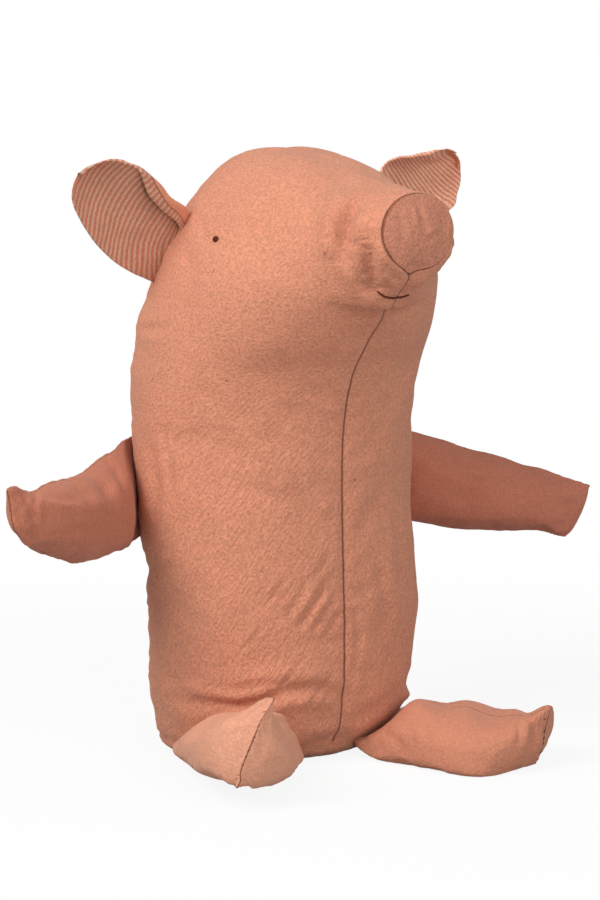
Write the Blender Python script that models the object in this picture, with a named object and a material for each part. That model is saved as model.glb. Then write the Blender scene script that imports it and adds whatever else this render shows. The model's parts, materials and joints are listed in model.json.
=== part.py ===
"""A plush pig that sits: a stuffed cloth bag for head and body, two ears, two arms and two legs.

The pig faces -Y, its left is +X and it sits on Z = 0, with the origin under the middle of its seat.
Every skin is a shell of cloth with its stuffing as a separate solid inside.
"""

import math

import bpy
import bmesh
from mathutils import Vector
from mathutils.bvhtree import BVHTree

# Driving dimensions, metres
CROWN_HEIGHT = 0.298
TRUNK_WIDTH = 0.1456
TRUNK_DEPTH = 0.114
SNOUT_REACH = 0.116
SNOUT_HEIGHT = 0.2647
SNOUT_WIDTH = 0.042
SNOUT_TALL = 0.037
SNOUT_BULGE = 0.003
CLOTH = 0.001
GAP = 0.0003
ROOT_GAP = 0.0004
ROOT_BEAD = 0.00115

ARM_LENGTH = 0.129
ARM_THICK = 0.034
ARM_TALL = 0.046
ARM_TIP_TALL = 0.025
LEG_LENGTH = 0.090
LEG_WIDTH = 0.068
LEG_TALL_RIGHT = 0.040
LEG_TALL_LEFT = 0.026
FOOT_TALL_RIGHT = 0.043
FOOT_TALL_LEFT = 0.027
FOOT_LIFT_RIGHT = 0.012
FOOT_LIFT_LEFT = 0.001
LEG_CLEAR = 0.0004

EAR_LENGTH = 0.064
EAR_WIDTH = 0.046
EAR_CUP = 0.006

KNOT_WIDTH = 0.0036
KNOT_TALL = 0.002
MOUTH_WIDTH = 0.018
THREAD = 0.0011
STITCH_LENGTH = 0.0028
STITCH_STEP = 0.0044

# Sections of the body bag, from the seat to the rim of the snout: the depth and the height of the front
# point, then of the back point, as shares of TRUNK_DEPTH and CROWN_HEIGHT, and the half width as a share
# of TRUNK_WIDTH. The rim of the snout follows from the snout's own sizes.
BODY_shares = (
    (0.308, 0.000, -0.317, 0.000, 0.343),
    (0.378, 0.0075, -0.384, 0.0075, 0.395),
    (0.427, 0.027, -0.411, 0.027, 0.420),
    (0.482, 0.074, -0.422, 0.074, 0.442),
    (0.512, 0.168, -0.418, 0.168, 0.468),
    (0.508, 0.295, -0.420, 0.295, 0.480),
    (0.496, 0.426, -0.462, 0.426, 0.500),
    (0.502, 0.547, -0.508, 0.560, 0.498),
    (0.559, 0.638, -0.499, 0.678, 0.493),
    (0.669, 0.700, -0.429, 0.785, 0.473),
    (0.782, 0.758, -0.291, 0.908, 0.419),
    (0.844, 0.765, -0.054, 0.999, 0.342),
    (0.918, 0.792, 0.261, 1.002, 0.266),
    (0.977, 0.806, 0.634, 0.969, 0.196),
)
SEAM_ROW = 2
BROW_ROW = 10
CROWN_ROW = 11
RIM_ROW = 14
SIDE_SEAM_ANGLE = math.radians(120)
FRONT_ROUND_share = 2.1
BACK_ROUND_share = 2.5
TUBE_ROUND_share = 2.0
PANEL_ROWS = (2, 2.5, 3.1, 4, 5, 6, 7, 8, 8.6, 9.2, 9.7, 10.25, 10.6, 11, 11.6, 12.3, 13, 13.5, 14)
BASE_ROWS = (0, 0.5, 1, 1.5, 2)
SIDE_COLUMNS = 9
BACK_COLUMNS = 6
TIP_share = 0.93
DISC_RING_shares = (1.0, 0.7, 0.35)
CAP_BULGE_share = 0.5
NORMAL_STEP_share = 0.01
WELD_share = 0.1
SEARCH_STEPS = 24
SEAM_TRIALS = 8

# Sections of an arm from root to tip, as shares: place along it, half thickness, half height, centre height
ARM_shares = (
    (0.0, 0.035, 0.49, 0.0),
    (0.03, 0.08, 0.50, 0.0),
    (0.08, 0.16, 0.50, -0.03),
    (0.18, 0.34, 0.49, -0.09),
    (0.32, 0.47, 0.47, -0.13),
    (0.50, 0.50, 0.44, -0.13),
    (0.68, 0.46, 0.385, -0.09),
    (0.84, 0.33, 0.325, -0.04),
    (0.95, 0.15, 0.29, -0.01),
    (1.0, 0.035, 0.27, 0.0),
)
# The same for a leg: place, half width, half height at the root part, share of the foot's own height
LEG_shares = (
    (0.0, 0.40, 0.032, 0.0),
    (0.03, 0.43, 0.08, 0.0),
    (0.08, 0.46, 0.18, 0.0),
    (0.18, 0.48, 0.34, 0.0),
    (0.32, 0.47, 0.45, 0.0),
    (0.50, 0.45, 0.50, 0.0),
    (0.68, 0.41, 0.36, 0.14),
    (0.84, 0.33, 0.16, 0.34),
    (0.95, 0.19, 0.04, 0.46),
    (1.0, 0.02, 0.0, 0.50),
)
LIMB_COLUMNS = 6
LIMB_ROUND_share = 2.2
LEG_UNDER_ROUND_share = 3.5
ROOT_SEARCH = 0.02
ROOT_FADE_share = 0.4
ROOT_WALL_share = 0.5
FILLING_ROWS = (2, 9)
ARM_SEAM_ROWS_RIGHT = (5.55, 6.65)
ARM_SEAM_ROWS_LEFT = (5.8, 6.9)
ARM_FORWARD_RIGHT = math.radians(32)
ARM_FORWARD_LEFT = math.radians(27)
ARM_DROOP_RIGHT = math.radians(-2)
ARM_DROOP_LEFT = math.radians(15)
LEG_ROOT_ANGLE_RIGHT = math.radians(47)
LEG_ROOT_ANGLE_LEFT = math.radians(41)
LEG_OUTWARD_RIGHT = math.radians(31)
LEG_OUTWARD_LEFT = math.radians(21)
FOOT_ROLL_RIGHT = math.radians(22)
FOOT_ROLL_LEFT = math.radians(5)

# Outline of an ear from root to tip, as shares: place along it, half width below and above its middle line
EAR_shares = (
    (0.0, 0.82, 0.82),
    (0.04, 0.86, 0.83),
    (0.16, 0.96, 0.90),
    (0.33, 1.0, 0.96),
    (0.52, 0.94, 1.02),
    (0.70, 0.78, 0.97),
    (0.84, 0.57, 0.80),
    (0.94, 0.36, 0.55),
    (1.0, 0.12, 0.24),
)
EAR_COLUMNS = 8
EAR_SEAM_ROWS = (9.2, 10.25)
EAR_RISE_RIGHT = math.radians(36)
EAR_RISE_LEFT = math.radians(42)
EAR_FORWARD_RIGHT = math.radians(2)
EAR_FORWARD_LEFT = math.radians(22)

EYE_ROW = 10.46
EYE_ANGLE = math.radians(92)
MOUTH_ROW = 11.6
MOUTH_SAG_share = 0.12
MOUTH_STEPS = 8
STITCH_SPAN_share = 0.9
THREAD_SIDES = 6
THREAD_END_share = 0.5
KNOT_SEGMENTS = 10
KNOT_RINGS = 6

CLOTH_COLOUR = (0.82, 0.42, 0.28, 1.0)
DISC_COLOUR = (0.70, 0.36, 0.24, 1.0)
LINING_COLOUR = (0.68, 0.40, 0.28, 1.0)
THREAD_COLOUR = (0.10, 0.02, 0.01, 1.0)
FILLING_COLOUR = (0.86, 0.84, 0.80, 1.0)


# Small helpers
def material(name, colour, roughness):
    """A plain cloth or thread finish."""
    made = bpy.data.materials.get(name) or bpy.data.materials.new(name)
    made.use_nodes = True
    shader = made.node_tree.nodes["Principled BSDF"]
    shader.inputs["Base Color"].default_value = colour
    shader.inputs["Roughness"].default_value = roughness
    shader.inputs["Metallic"].default_value = 0.0
    return made


def add_object(name, points, faces, finish, origin=None):
    """One closed body from points and faces, with its origin on its joint where it has one."""
    origin = origin or Vector((0, 0, 0))
    mesh = bpy.data.meshes.new(name)
    mesh.from_pydata([tuple(p - origin) for p in points], [], faces)
    mesh.materials.append(finish)
    mesh.shade_smooth()
    piece = bpy.data.objects.new(name, mesh)
    piece.location = origin
    bpy.context.scene.collection.objects.link(piece)
    return piece


def spline(table, place):
    """A smooth curve through the rows of a table, read at a place counted in rows."""
    last = len(table) - 1
    place = min(max(place, 0.0), float(last))
    row = min(int(place), last - 1)
    part = place - row
    p1 = table[row]
    p2 = table[row + 1]
    p0 = table[row - 1] if row > 0 else [2 * a - b for a, b in zip(p1, p2)]
    p3 = table[row + 2] if row + 2 <= last else [2 * b - a for a, b in zip(p1, p2)]
    out = []
    for a, b, c, d in zip(p0, p1, p2, p3):
        cubic = (3 * b - a - 3 * c + d) * part ** 3
        square = (2 * a - 5 * b + 4 * c - d) * part ** 2
        out.append(0.5 * (2 * b + (c - a) * part + square + cubic))
    return out


def body_table():
    """The body's sections in metres: front depth and height, back depth and height, half width."""
    rows = []
    for front, front_z, back, back_z, half in BODY_shares:
        rows.append((front * TRUNK_DEPTH, front_z * CROWN_HEIGHT, back * TRUNK_DEPTH,
                     back_z * CROWN_HEIGHT, half * TRUNK_WIDTH))
    low = SNOUT_HEIGHT - SNOUT_TALL / 2
    high = SNOUT_HEIGHT + SNOUT_TALL / 2
    rows.append((SNOUT_REACH, low, SNOUT_REACH, high, SNOUT_WIDTH / 2))
    return rows


BODY = body_table()


def power(value, exponent):
    """A signed power, for the rounded-square sections."""
    return math.copysign(abs(value) ** exponent, value)


def skin(row, angle):
    """The body's outer surface. Angle 0 is the front seam and a positive angle is the pig's left."""
    front, front_z, back, back_z, half = spline(BODY, row)
    tube = min(max((row - CROWN_ROW) / (RIM_ROW - CROWN_ROW), 0.0), 1.0)
    facing = math.cos(angle)
    side = math.sin(angle)
    roundness = FRONT_ROUND_share if facing >= 0 else BACK_ROUND_share
    roundness = roundness + (TUBE_ROUND_share - roundness) * tube
    along = abs(facing) ** (2 / roundness)
    middle = (front + back) / 2
    middle_z = (front_z + back_z) / 2
    end = front if facing >= 0 else back
    end_z = front_z if facing >= 0 else back_z
    depth = middle + (end - middle) * along
    height = middle_z + (end_z - middle_z) * along
    return Vector((half * power(side, 2 / roundness), -depth, height))


def skin_normal(row, angle):
    """The outward direction of the body's surface."""
    if row <= 0:
        return Vector((0, 0, -1))
    before = max(row - NORMAL_STEP_share, 0.0)
    after = min(row + NORMAL_STEP_share, float(RIM_ROW))
    up = skin(after, angle) - skin(before, angle)
    round_ = skin(row, angle + NORMAL_STEP_share) - skin(row, angle - NORMAL_STEP_share)
    return round_.cross(up).normalized()


def seam_angle(row):
    """Where the side seam runs: up the back corners, then together at the crown."""
    close = min(max((row - BROW_ROW) / (CROWN_ROW - BROW_ROW), 0.0), 1.0)
    return SIDE_SEAM_ANGLE + (math.pi - SIDE_SEAM_ANGLE) * close


def side_grid(rows, sign):
    """Points and normals of one side panel, from the front seam to the side seam."""
    points = []
    normals = []
    for row in rows:
        edge = seam_angle(row)
        angles = [sign * edge * c / SIDE_COLUMNS for c in range(SIDE_COLUMNS + 1)]
        points.append([skin(row, a) for a in angles])
        normals.append([skin_normal(row, a) for a in angles])
    return points, normals


def back_grid(rows):
    """Points and normals of the back, from the left side seam round to the right one."""
    points = []
    normals = []
    for row in rows:
        edge = seam_angle(row)
        width = 2 * math.pi - 2 * edge
        angles = [edge + width * c / BACK_COLUMNS for c in range(BACK_COLUMNS + 1)]
        points.append([skin(row, a) for a in angles])
        normals.append([skin_normal(row, a) for a in angles])
    return points, normals


def ring_angles():
    """The angles of every column at the seat, all the way round."""
    side = [SIDE_SEAM_ANGLE * c / SIDE_COLUMNS for c in range(SIDE_COLUMNS)]
    width = 2 * math.pi - 2 * SIDE_SEAM_ANGLE
    back = [SIDE_SEAM_ANGLE + width * c / BACK_COLUMNS for c in range(BACK_COLUMNS)]
    other = [2 * math.pi - SIDE_SEAM_ANGLE * c / SIDE_COLUMNS for c in range(SIDE_COLUMNS, 0, -1)]
    return side + back + other


def seat_grid():
    """Points and normals of the seat, rolled up to the bottom seam, as closed rings."""
    points = [[skin(row, a) for a in ring_angles()] for row in BASE_ROWS]
    normals = [[skin_normal(row, a) for a in ring_angles()] for row in BASE_ROWS]
    return points, normals


def rim_ring():
    """The rim of the snout, all the way round."""
    side = [math.pi * c / SIDE_COLUMNS for c in range(SIDE_COLUMNS)]
    other = [2 * math.pi - math.pi * c / SIDE_COLUMNS for c in range(SIDE_COLUMNS, 0, -1)]
    return [skin(RIM_ROW, a) for a in side + other]


def pull_back(points, row, neighbour, amount):
    """Moves a row of a grid towards the next one, so that it stays on the same facets."""
    for column, point in enumerate(points[row]):
        step = points[neighbour][column] - point
        points[row][column] = point + step.normalized() * amount


def pull_in(points, column, neighbour, amount):
    """Moves a column of a grid towards the next one."""
    for line in points:
        step = line[neighbour] - line[column]
        line[column] = line[column] + step.normalized() * amount


def shell_faces(rows, columns, flip):
    """Faces of a wall between an outer and an inner grid, closed round its edge."""
    def outer(r, c):
        return r * columns + c

    def inner(r, c):
        return rows * columns + r * columns + c

    faces = []
    for r in range(rows - 1):
        for c in range(columns - 1):
            a, b, d, e = (r, c), (r, c + 1), (r + 1, c + 1), (r + 1, c)
            faces.append((outer(*a), outer(*b), outer(*d)))
            faces.append((outer(*a), outer(*d), outer(*e)))
            faces.append((inner(*d), inner(*b), inner(*a)))
            faces.append((inner(*e), inner(*d), inner(*a)))
    edge = [(0, c) for c in range(columns)]
    edge += [(r, columns - 1) for r in range(1, rows)]
    edge += [(rows - 1, c) for c in range(columns - 2, -1, -1)]
    edge += [(r, 0) for r in range(rows - 2, 0, -1)]
    for here, there in zip(edge, edge[1:] + edge[:1]):
        faces.append((outer(*there), outer(*here), inner(*here)))
        faces.append((outer(*there), inner(*here), inner(*there)))
    if flip:
        faces = [tuple(reversed(face)) for face in faces]
    return faces


def shell(name, points, normals, finish, flip=False, wall=CLOTH, origin=None):
    """A panel of cloth: a grid of points with a wall behind it."""
    flat = [p for line in points for p in line]
    back = [p - n * wall for line, lean in zip(points, normals) for p, n in zip(line, lean)]
    faces = shell_faces(len(points), len(points[0]), flip)
    return add_object(name, flat + back, faces, finish, origin)


# Body
def side_panel(name, sign, finish):
    """One side of head and body, from the bottom seam to the rim of the snout."""
    points, normals = side_grid(PANEL_ROWS, sign)
    pull_back(points, 0, 1, GAP / 2)
    pull_back(points, -1, -2, CLOTH + GAP)
    pull_in(points, 0, 1, GAP / 2)
    pull_in(points, -1, -2, GAP / 2)
    return shell(name, points, normals, finish, flip=sign < 0)


def back_panel(finish):
    """The back, which ends in a narrow tongue at the crown."""
    rows = [row for row in PANEL_ROWS if row <= CROWN_ROW]
    points, normals = back_grid(rows)
    points[-1] = [a.lerp(b, TIP_share) for a, b in zip(points[-2], points[-1])]
    pull_back(points, 0, 1, GAP / 2)
    pull_in(points, 0, 1, GAP / 2)
    pull_in(points, -1, -2, GAP / 2)
    return shell("back_panel", points, normals, finish)


def base_panel(finish):
    """The cloth the pig sits on: flat in the middle and rolled up to the bottom seam."""
    points, normals = seat_grid()
    pull_back(points, -1, -2, GAP / 2)
    count = len(points[0])
    rows = len(points)
    outer = [p for line in points for p in line]
    inner = [p - n * CLOTH for line, lean in zip(points, normals) for p, n in zip(line, lean)]
    faces = []
    for r in range(rows - 1):
        for c in range(count):
            after = (c + 1) % count
            a, b = r * count + c, r * count + after
            d, e = b + count, a + count
            shift = rows * count
            faces.append((a, b, d))
            faces.append((a, d, e))
            faces.append((d + shift, b + shift, a + shift))
            faces.append((e + shift, d + shift, a + shift))
    top = (rows - 1) * count
    shift = rows * count
    for c in range(count):
        after = (c + 1) % count
        faces.append((top + c, top + after, top + after + shift))
        faces.append((top + c, top + after + shift, top + c + shift))
    faces.append(tuple(range(count - 1, -1, -1)))
    faces.append(tuple(range(shift, shift + count)))
    return add_object("base_panel", outer + inner, faces, finish)


def disc_points(ring, centre, forward, bulge, shares):
    """Rings of a slightly domed disc, and its middle point last."""
    points = []
    for share in shares:
        lift = forward * bulge * (1 - share * share)
        points += [centre.lerp(p, share) + lift for p in ring]
    points.append(centre + forward * bulge)
    return points


def disc_faces(count, rings, start, flip):
    """Faces of a disc of rings round a middle point."""
    faces = []
    for r in range(rings - 1):
        for c in range(count):
            after = (c + 1) % count
            a, b = start + r * count + c, start + r * count + after
            faces.append((a, b, b + count))
            faces.append((a, b + count, a + count))
    middle = start + rings * count
    last = start + (rings - 1) * count
    faces += [(last + c, last + (c + 1) % count, middle) for c in range(count)]
    if flip:
        faces = [tuple(reversed(face)) for face in faces]
    return faces


def snout_disc(finish):
    """The round end of the snout."""
    ring = rim_ring()
    centre = sum(ring, Vector()) / len(ring)
    forward = Vector((0, -1, 0))
    outer = disc_points(ring, centre, forward, SNOUT_BULGE, DISC_RING_shares)
    inner = [p - forward * CLOTH for p in outer]
    count = len(ring)
    rings = len(DISC_RING_shares)
    start = len(outer)
    faces = disc_faces(count, rings, 0, False) + disc_faces(count, rings, start, True)
    for c in range(count):
        after = (c + 1) % count
        faces.append((after, c, start + c))
        faces.append((after, start + c, start + after))
    return add_object("snout_disc", outer + inner, faces, finish)


def whole_skin(offset):
    """The closed bag of the body, moved in from the cloth by an offset, as points and faces."""
    bag = bmesh.new()

    def add(points, normals, closed, flip):
        lines = []
        for line, lean in zip(points, normals):
            lines.append([bag.verts.new(p - n * offset) for p, n in zip(line, lean)])
        for low, high in zip(lines, lines[1:]):
            last = len(low) if closed else len(low) - 1
            for c in range(last):
                after = (c + 1) % len(low)
                first = [low[c], low[after], high[after]]
                second = [low[c], high[after], high[c]]
                for corners in (first, second):
                    bag.faces.new(reversed(corners) if flip else corners)
        return lines

    seat = add(*seat_grid(), True, False)
    bag.faces.new(reversed(seat[0]))
    ends = []
    for sign in (1, -1):
        points, normals = side_grid(PANEL_ROWS, sign)
        if offset:
            pull_back(points, -1, -2, offset + GAP)
        ends.append(add(points, normals, False, sign < 0)[-1])
    add(*back_grid([row for row in PANEL_ROWS if row <= CROWN_ROW]), False, False)
    ring = ends[0][:-1] + [v for v in reversed(ends[1][1:])]
    centre = sum((v.co for v in ring), Vector()) / len(ring)
    forward = Vector((0, -1, 0))
    bulge = SNOUT_BULGE * CAP_BULGE_share if offset else SNOUT_BULGE
    shares = DISC_RING_shares[::2]
    cap = disc_points([v.co.copy() for v in ring], centre, forward, bulge, shares)
    verts = [bag.verts.new(p) for p in cap]
    for face in disc_faces(len(ring), len(shares), 0, False):
        bag.faces.new([verts[i] for i in face])
    bmesh.ops.remove_doubles(bag, verts=bag.verts, dist=GAP * WELD_share)
    bmesh.ops.recalc_face_normals(bag, faces=bag.faces)
    bag.verts.ensure_lookup_table()
    bag.verts.index_update()
    points = [v.co.copy() for v in bag.verts]
    faces = [tuple(v.index for v in face.verts) for face in bag.faces]
    bag.free()
    return points, faces


def body_filling(finish):
    """The stuffing of head and body, one bag of fibre just inside the cloth."""
    points, faces = whole_skin(CLOTH + GAP)
    return add_object("body_filling", points, faces, finish)


# Limbs
def limb_frame(root, direction, up):
    """The sideways and upward directions of a limb that leaves root along direction."""
    side = up.cross(direction).normalized()
    return root, direction, side, direction.cross(side).normalized()


def clearance(tree, point):
    """How far a point lies outside the body; negative inside it."""
    hit, normal, _, distance = tree.find_nearest(point)
    return math.copysign(distance, (point - hit).dot(normal))


def draw_to_body(tree, frame, side, height, gap):
    """How far along the limb a point has to start so that it lies a gap away from the body."""
    root, direction, across, up = frame
    base = root + across * side + up * height
    near = -ROOT_SEARCH
    far = ROOT_SEARCH
    for _ in range(SEARCH_STEPS):
        middle = (near + far) / 2
        if clearance(tree, base + direction * middle) < gap:
            near = middle
        else:
            far = middle
    return far


def hinge_line(tree, frame, reach, upright, gap):
    """The straight line a limb turns about: how far along the limb it lies, and its slope to the limb."""
    places = [reach * (2 * i / SEAM_TRIALS - 1) for i in range(SEAM_TRIALS + 1)]
    marks = []
    for place in places:
        side, height = (0.0, place) if upright else (place, 0.0)
        marks.append(draw_to_body(tree, frame, side, height, gap))
    slope = (marks[-1] - marks[0]) / (places[-1] - places[0])
    return max(mark - slope * place for mark, place in zip(marks, places)), slope


def section(half_side, half_height, under):
    """The places round one section of a limb, from the lower seam round by the positive side."""
    places = []
    for c in range(2 * LIMB_COLUMNS):
        angle = -math.pi / 2 + math.pi * c / LIMB_COLUMNS
        roundness = under if math.sin(angle) < 0 else LIMB_ROUND_share
        side = half_side * power(math.cos(angle), 2 / roundness)
        height = half_height * power(math.sin(angle), 2 / roundness)
        places.append((0.0 if c % LIMB_COLUMNS == 0 else side, height))
    return places


def limb_grid(sections, frame, length, tree, upright, hinge):
    """Local places of a limb: sideways, upward, roll, centre and along, one closed ring per section."""
    under = LIMB_ROUND_share if upright else LEG_UNDER_ROUND_share
    start, slope = hinge
    grid = []
    for place, half_side, half_height, centre, roll in sections:
        fade = max(1 - place / ROOT_FADE_share, 0.0) ** 2
        ring = []
        for side, height in section(half_side, half_height, under):
            along = length * place
            if fade > 0:
                along += fade * (start + slope * (height if upright else side))
                turned, raised = rolled(side, height, roll, centre)
                along = max(along, draw_to_body(tree, frame, turned, raised, ROOT_GAP))
            ring.append((side, height, roll, centre, along))
        grid.append(ring)
    return grid


def rolled(side, height, roll, centre):
    """A place in a limb's section, turned by the limb's roll and raised to its middle line."""
    turned = side * math.cos(roll) - height * math.sin(roll)
    raised = side * math.sin(roll) + height * math.cos(roll) + centre
    return turned, raised


def to_world(frame, side, height, roll, centre, along):
    """A limb's local place in the part's frame."""
    root, direction, across, up = frame
    turned, raised = rolled(side, height, roll, centre)
    return root + across * turned + up * raised + direction * along


def limb_normals(grid):
    """Outward directions of a limb's surface in its own sideways, upward and along directions."""
    normals = []
    rows = len(grid)
    for r, ring in enumerate(grid):
        line = []
        before = grid[max(r - 1, 0)]
        after = grid[min(r + 1, rows - 1)]
        for c in range(len(ring)):
            left = ring[c - 1]
            right = ring[(c + 1) % len(ring)]
            round_ = Vector((right[0] - left[0], right[1] - left[1], right[4] - left[4]))
            ahead = Vector((after[c][0] - before[c][0], after[c][1] - before[c][1],
                            after[c][4] - before[c][4]))
            line.append(round_.cross(ahead).normalized())
        normals.append(line)
    return normals


def inner_place(place, lean, wall, keep_side):
    """A point of the cloth's inner face, kept on its own side of both seams."""
    side, height, roll, centre, along = place
    inside = side - lean.x * wall
    low = height - lean.y * wall
    limit = GAP / 2
    if keep_side > 0:
        inside = max(inside, limit)
    if keep_side < 0:
        inside = min(inside, -limit)
    if abs(height) > limit:
        low = math.copysign(max(abs(low) if low * height > 0 else 0.0, limit), height)
    return inside, low, roll, centre, along - lean.z * wall


def limb(name, labels, sections, frame, length, tree, upright, finish, stuffing):
    """Two panels and the stuffing of one limb, and the place of its hinge."""
    reach = sections[0][2] if upright else sections[0][1]
    hinge = hinge_line(tree, frame, reach, upright, ROOT_BEAD + ROOT_GAP)
    origin = frame[0] + frame[1] * hinge[0]
    grid = limb_grid(sections, frame, length, tree, upright, hinge)
    normals = limb_normals(grid)
    rows = len(grid)
    count = 2 * LIMB_COLUMNS
    for half, label in enumerate(labels):
        sign = 1 if half == 0 else -1
        outer = []
        inner = []
        for r in range(rows):
            edge = r in (0, rows - 1)
            wall = CLOTH * ROOT_WALL_share if edge else CLOTH
            for c in range(LIMB_COLUMNS + 1):
                index = (c + half * LIMB_COLUMNS) % count
                side, height, roll, centre, along = grid[r][index]
                lean = normals[r][index].copy()
                if edge:
                    lean.z = 0.0
                kept = sign * max(sign * side, GAP / 2)
                outer.append(to_world(frame, kept, height, roll, centre, along))
                placed = inner_place(grid[r][index], lean, wall, sign)
                inner.append(to_world(frame, *placed))
        faces = shell_faces(rows, LIMB_COLUMNS + 1, False)
        add_object(f"{name}_{label}", outer + inner, faces, finish, origin)
    filling(f"{name}_filling", grid, normals, frame, origin, stuffing)
    return origin


def filling(name, grid, normals, frame, origin, finish):
    """The stuffing of a limb: its plump rows, moved in from the cloth and closed at both ends."""
    first, last = FILLING_ROWS
    count = 2 * LIMB_COLUMNS
    points = []
    for r in range(first, last):
        for c in range(count):
            side, height, roll, centre, along = grid[r][c]
            lean = normals[r][c] * (CLOTH + GAP)
            points.append(to_world(frame, side - lean.x, height - lean.y, roll, centre, along - lean.z))
    rows = last - first
    faces = []
    for r in range(rows - 1):
        for c in range(count):
            after = (c + 1) % count
            a, b = r * count + c, r * count + after
            faces.append((a, b, b + count))
            faces.append((a, b + count, a + count))
    for r, turn in ((0, True), (rows - 1, False)):
        ring = points[r * count:(r + 1) * count]
        middle = len(points)
        points.append(sum(ring, Vector()) / count)
        for c in range(count):
            corners = (r * count + c, r * count + (c + 1) % count, middle)
            faces.append(tuple(reversed(corners)) if turn else corners)
    return add_object(name, points, faces, finish, origin)


def seam_place(rows, sign):
    """The middle and the direction of a stretch of a side seam."""
    low = skin(rows[0], sign * SIDE_SEAM_ANGLE)
    high = skin(rows[1], sign * SIDE_SEAM_ANGLE)
    return (low + high) / 2, (high - low).normalized()


def arm(side_name, sign, rows, forward, droop, tree, finish, stuffing):
    """An arm, sewn upright into the side seam."""
    root, up = seam_place(rows, sign)
    flat = Vector((sign * math.cos(forward), -math.sin(forward), 0))
    direction = (flat * math.cos(droop) - Vector((0, 0, 1)) * math.sin(droop)).normalized()
    frame = limb_frame(root, direction, up)
    sections = []
    for place, thick, half, centre in ARM_shares:
        height = ARM_TIP_TALL / 2 if place == 1 else half * ARM_TALL
        side = max(thick * ARM_THICK, ROOT_BEAD)
        sections.append((place, side, height, centre * ARM_TALL, 0.0))
    labels = ("front_panel", "back_panel") if sign < 0 else ("back_panel", "front_panel")
    limb(f"arm_{side_name}", labels, sections, frame, ARM_LENGTH, tree, True, finish, stuffing)


def leg(side_name, sign, pose, tree, finish, stuffing, thread):
    """A leg, sewn flat into the bottom seam, with an upright seam at the foot."""
    root_angle, outward, tall, foot, lift, roll = pose
    root = skin(SEAM_ROW, sign * root_angle)
    direction = Vector((sign * math.sin(outward), -math.cos(outward), 0))
    frame = limb_frame(root, direction, Vector((0, 0, 1)))
    sections = []
    for place, wide, half, foot_share in LEG_shares:
        height = max(half * tall + foot_share * foot, ROOT_BEAD)
        side = max(wide * LEG_WIDTH, ROOT_BEAD)
        turn = sign * roll * place * place
        lowest = min(rolled(*at, turn, 0.0)[1] for at in section(side, height, LEG_UNDER_ROUND_share))
        centre = max(LEG_CLEAR + lift * place * place - lowest - root.z, 0.0)
        sections.append((place, side, height, centre, turn))
    labels = ("outer_panel", "inner_panel") if sign > 0 else ("inner_panel", "outer_panel")
    name = f"leg_{side_name}"
    origin = limb(name, labels, sections, frame, LEG_LENGTH, tree, False, finish, stuffing)
    closing_stitches(f"{name}_closing_stitches", sections[-1], frame, origin, thread)


# Ears
def ear(side_name, sign, rise, forward, tree, finish, lining):
    """An ear of two layers of cloth, sewn into the side seam and cupped to the front."""
    root, seam = seam_place(EAR_SEAM_ROWS, sign)
    flat = Vector((sign * math.cos(forward), -math.sin(forward), 0))
    direction = (flat * math.cos(rise) + Vector((0, 0, 1)) * math.sin(rise)).normalized()
    front = seam.cross(direction).normalized()
    if front.y > 0:
        front = -front
    across = direction.cross(front).normalized()
    if across.z < 0:
        across = -across
    frame = (root, direction, front, across)
    reach = EAR_shares[0][1] * EAR_WIDTH / 2
    start, slope = hinge_line(tree, frame, reach, True, CLOTH * ROOT_WALL_share + ROOT_GAP)
    origin = root + direction * start
    for label, layer, look in (("lining", 1, lining), ("outer", -1, finish)):
        points = []
        normals = []
        for place, below, above in EAR_shares:
            fade = max(1 - place / ROOT_FADE_share, 0.0) ** 2
            wall = ROOT_WALL_share if place == 0 else 1.0
            line = []
            for c in range(EAR_COLUMNS + 1):
                share = -1 + 2 * c / EAR_COLUMNS
                half = (above if share > 0 else below) * EAR_WIDTH / 2
                raised = share * half
                lift = EAR_CUP * share * share * (1 - fade) + layer * GAP / 2
                along = EAR_LENGTH * place + fade * (start + slope * raised)
                line.append(root + direction * along + across * raised + front * lift)
            points.append(line)
            normals.append([-front * layer * wall for _ in line])
        handed = (across.cross(direction)).dot(front) * layer < 0
        shell(f"ear_{side_name}_{label}", points, normals, look, flip=not handed, origin=origin)


# Thread work
def bead(name, centre, normal, finish):
    """A knot of thread: a small flattened ball on the cloth."""
    ball = bmesh.new()
    bmesh.ops.create_uvsphere(ball, u_segments=KNOT_SEGMENTS, v_segments=KNOT_RINGS, radius=KNOT_WIDTH / 2)
    turn = normal.to_track_quat("Z", "Y").to_matrix()
    squash = KNOT_TALL / KNOT_WIDTH
    for v in ball.verts:
        v.co.z *= squash
        v.co = turn @ v.co + centre
    points = [v.co.copy() for v in ball.verts]
    ball.verts.index_update()
    faces = [tuple(v.index for v in face.verts) for face in ball.faces]
    ball.free()
    return add_object(name, points, faces, finish)


def tube(points, normals, radius, sides=THREAD_SIDES):
    """Points and faces of a thread laid along a line, pointed at both ends."""
    verts = []
    faces = []
    for i, (point, normal) in enumerate(zip(points, normals)):
        before = points[max(i - 1, 0)]
        after = points[min(i + 1, len(points) - 1)]
        along = (after - before).normalized()
        across = normal.cross(along).normalized()
        out = along.cross(across).normalized()
        ends = i in (0, len(points) - 1)
        size = radius * (THREAD_END_share if ends else 1.0)
        for s in range(sides):
            angle = 2 * math.pi * s / sides
            verts.append(point + (across * math.cos(angle) + out * math.sin(angle)) * size)
    for i in range(len(points) - 1):
        for s in range(sides):
            t = (s + 1) % sides
            a, b = i * sides + s, i * sides + t
            faces.append((a, b, b + sides, a + sides))
    faces.append(tuple(range(sides - 1, -1, -1)))
    faces.append(tuple(range((len(points) - 1) * sides, len(points) * sides)))
    return verts, faces


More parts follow.
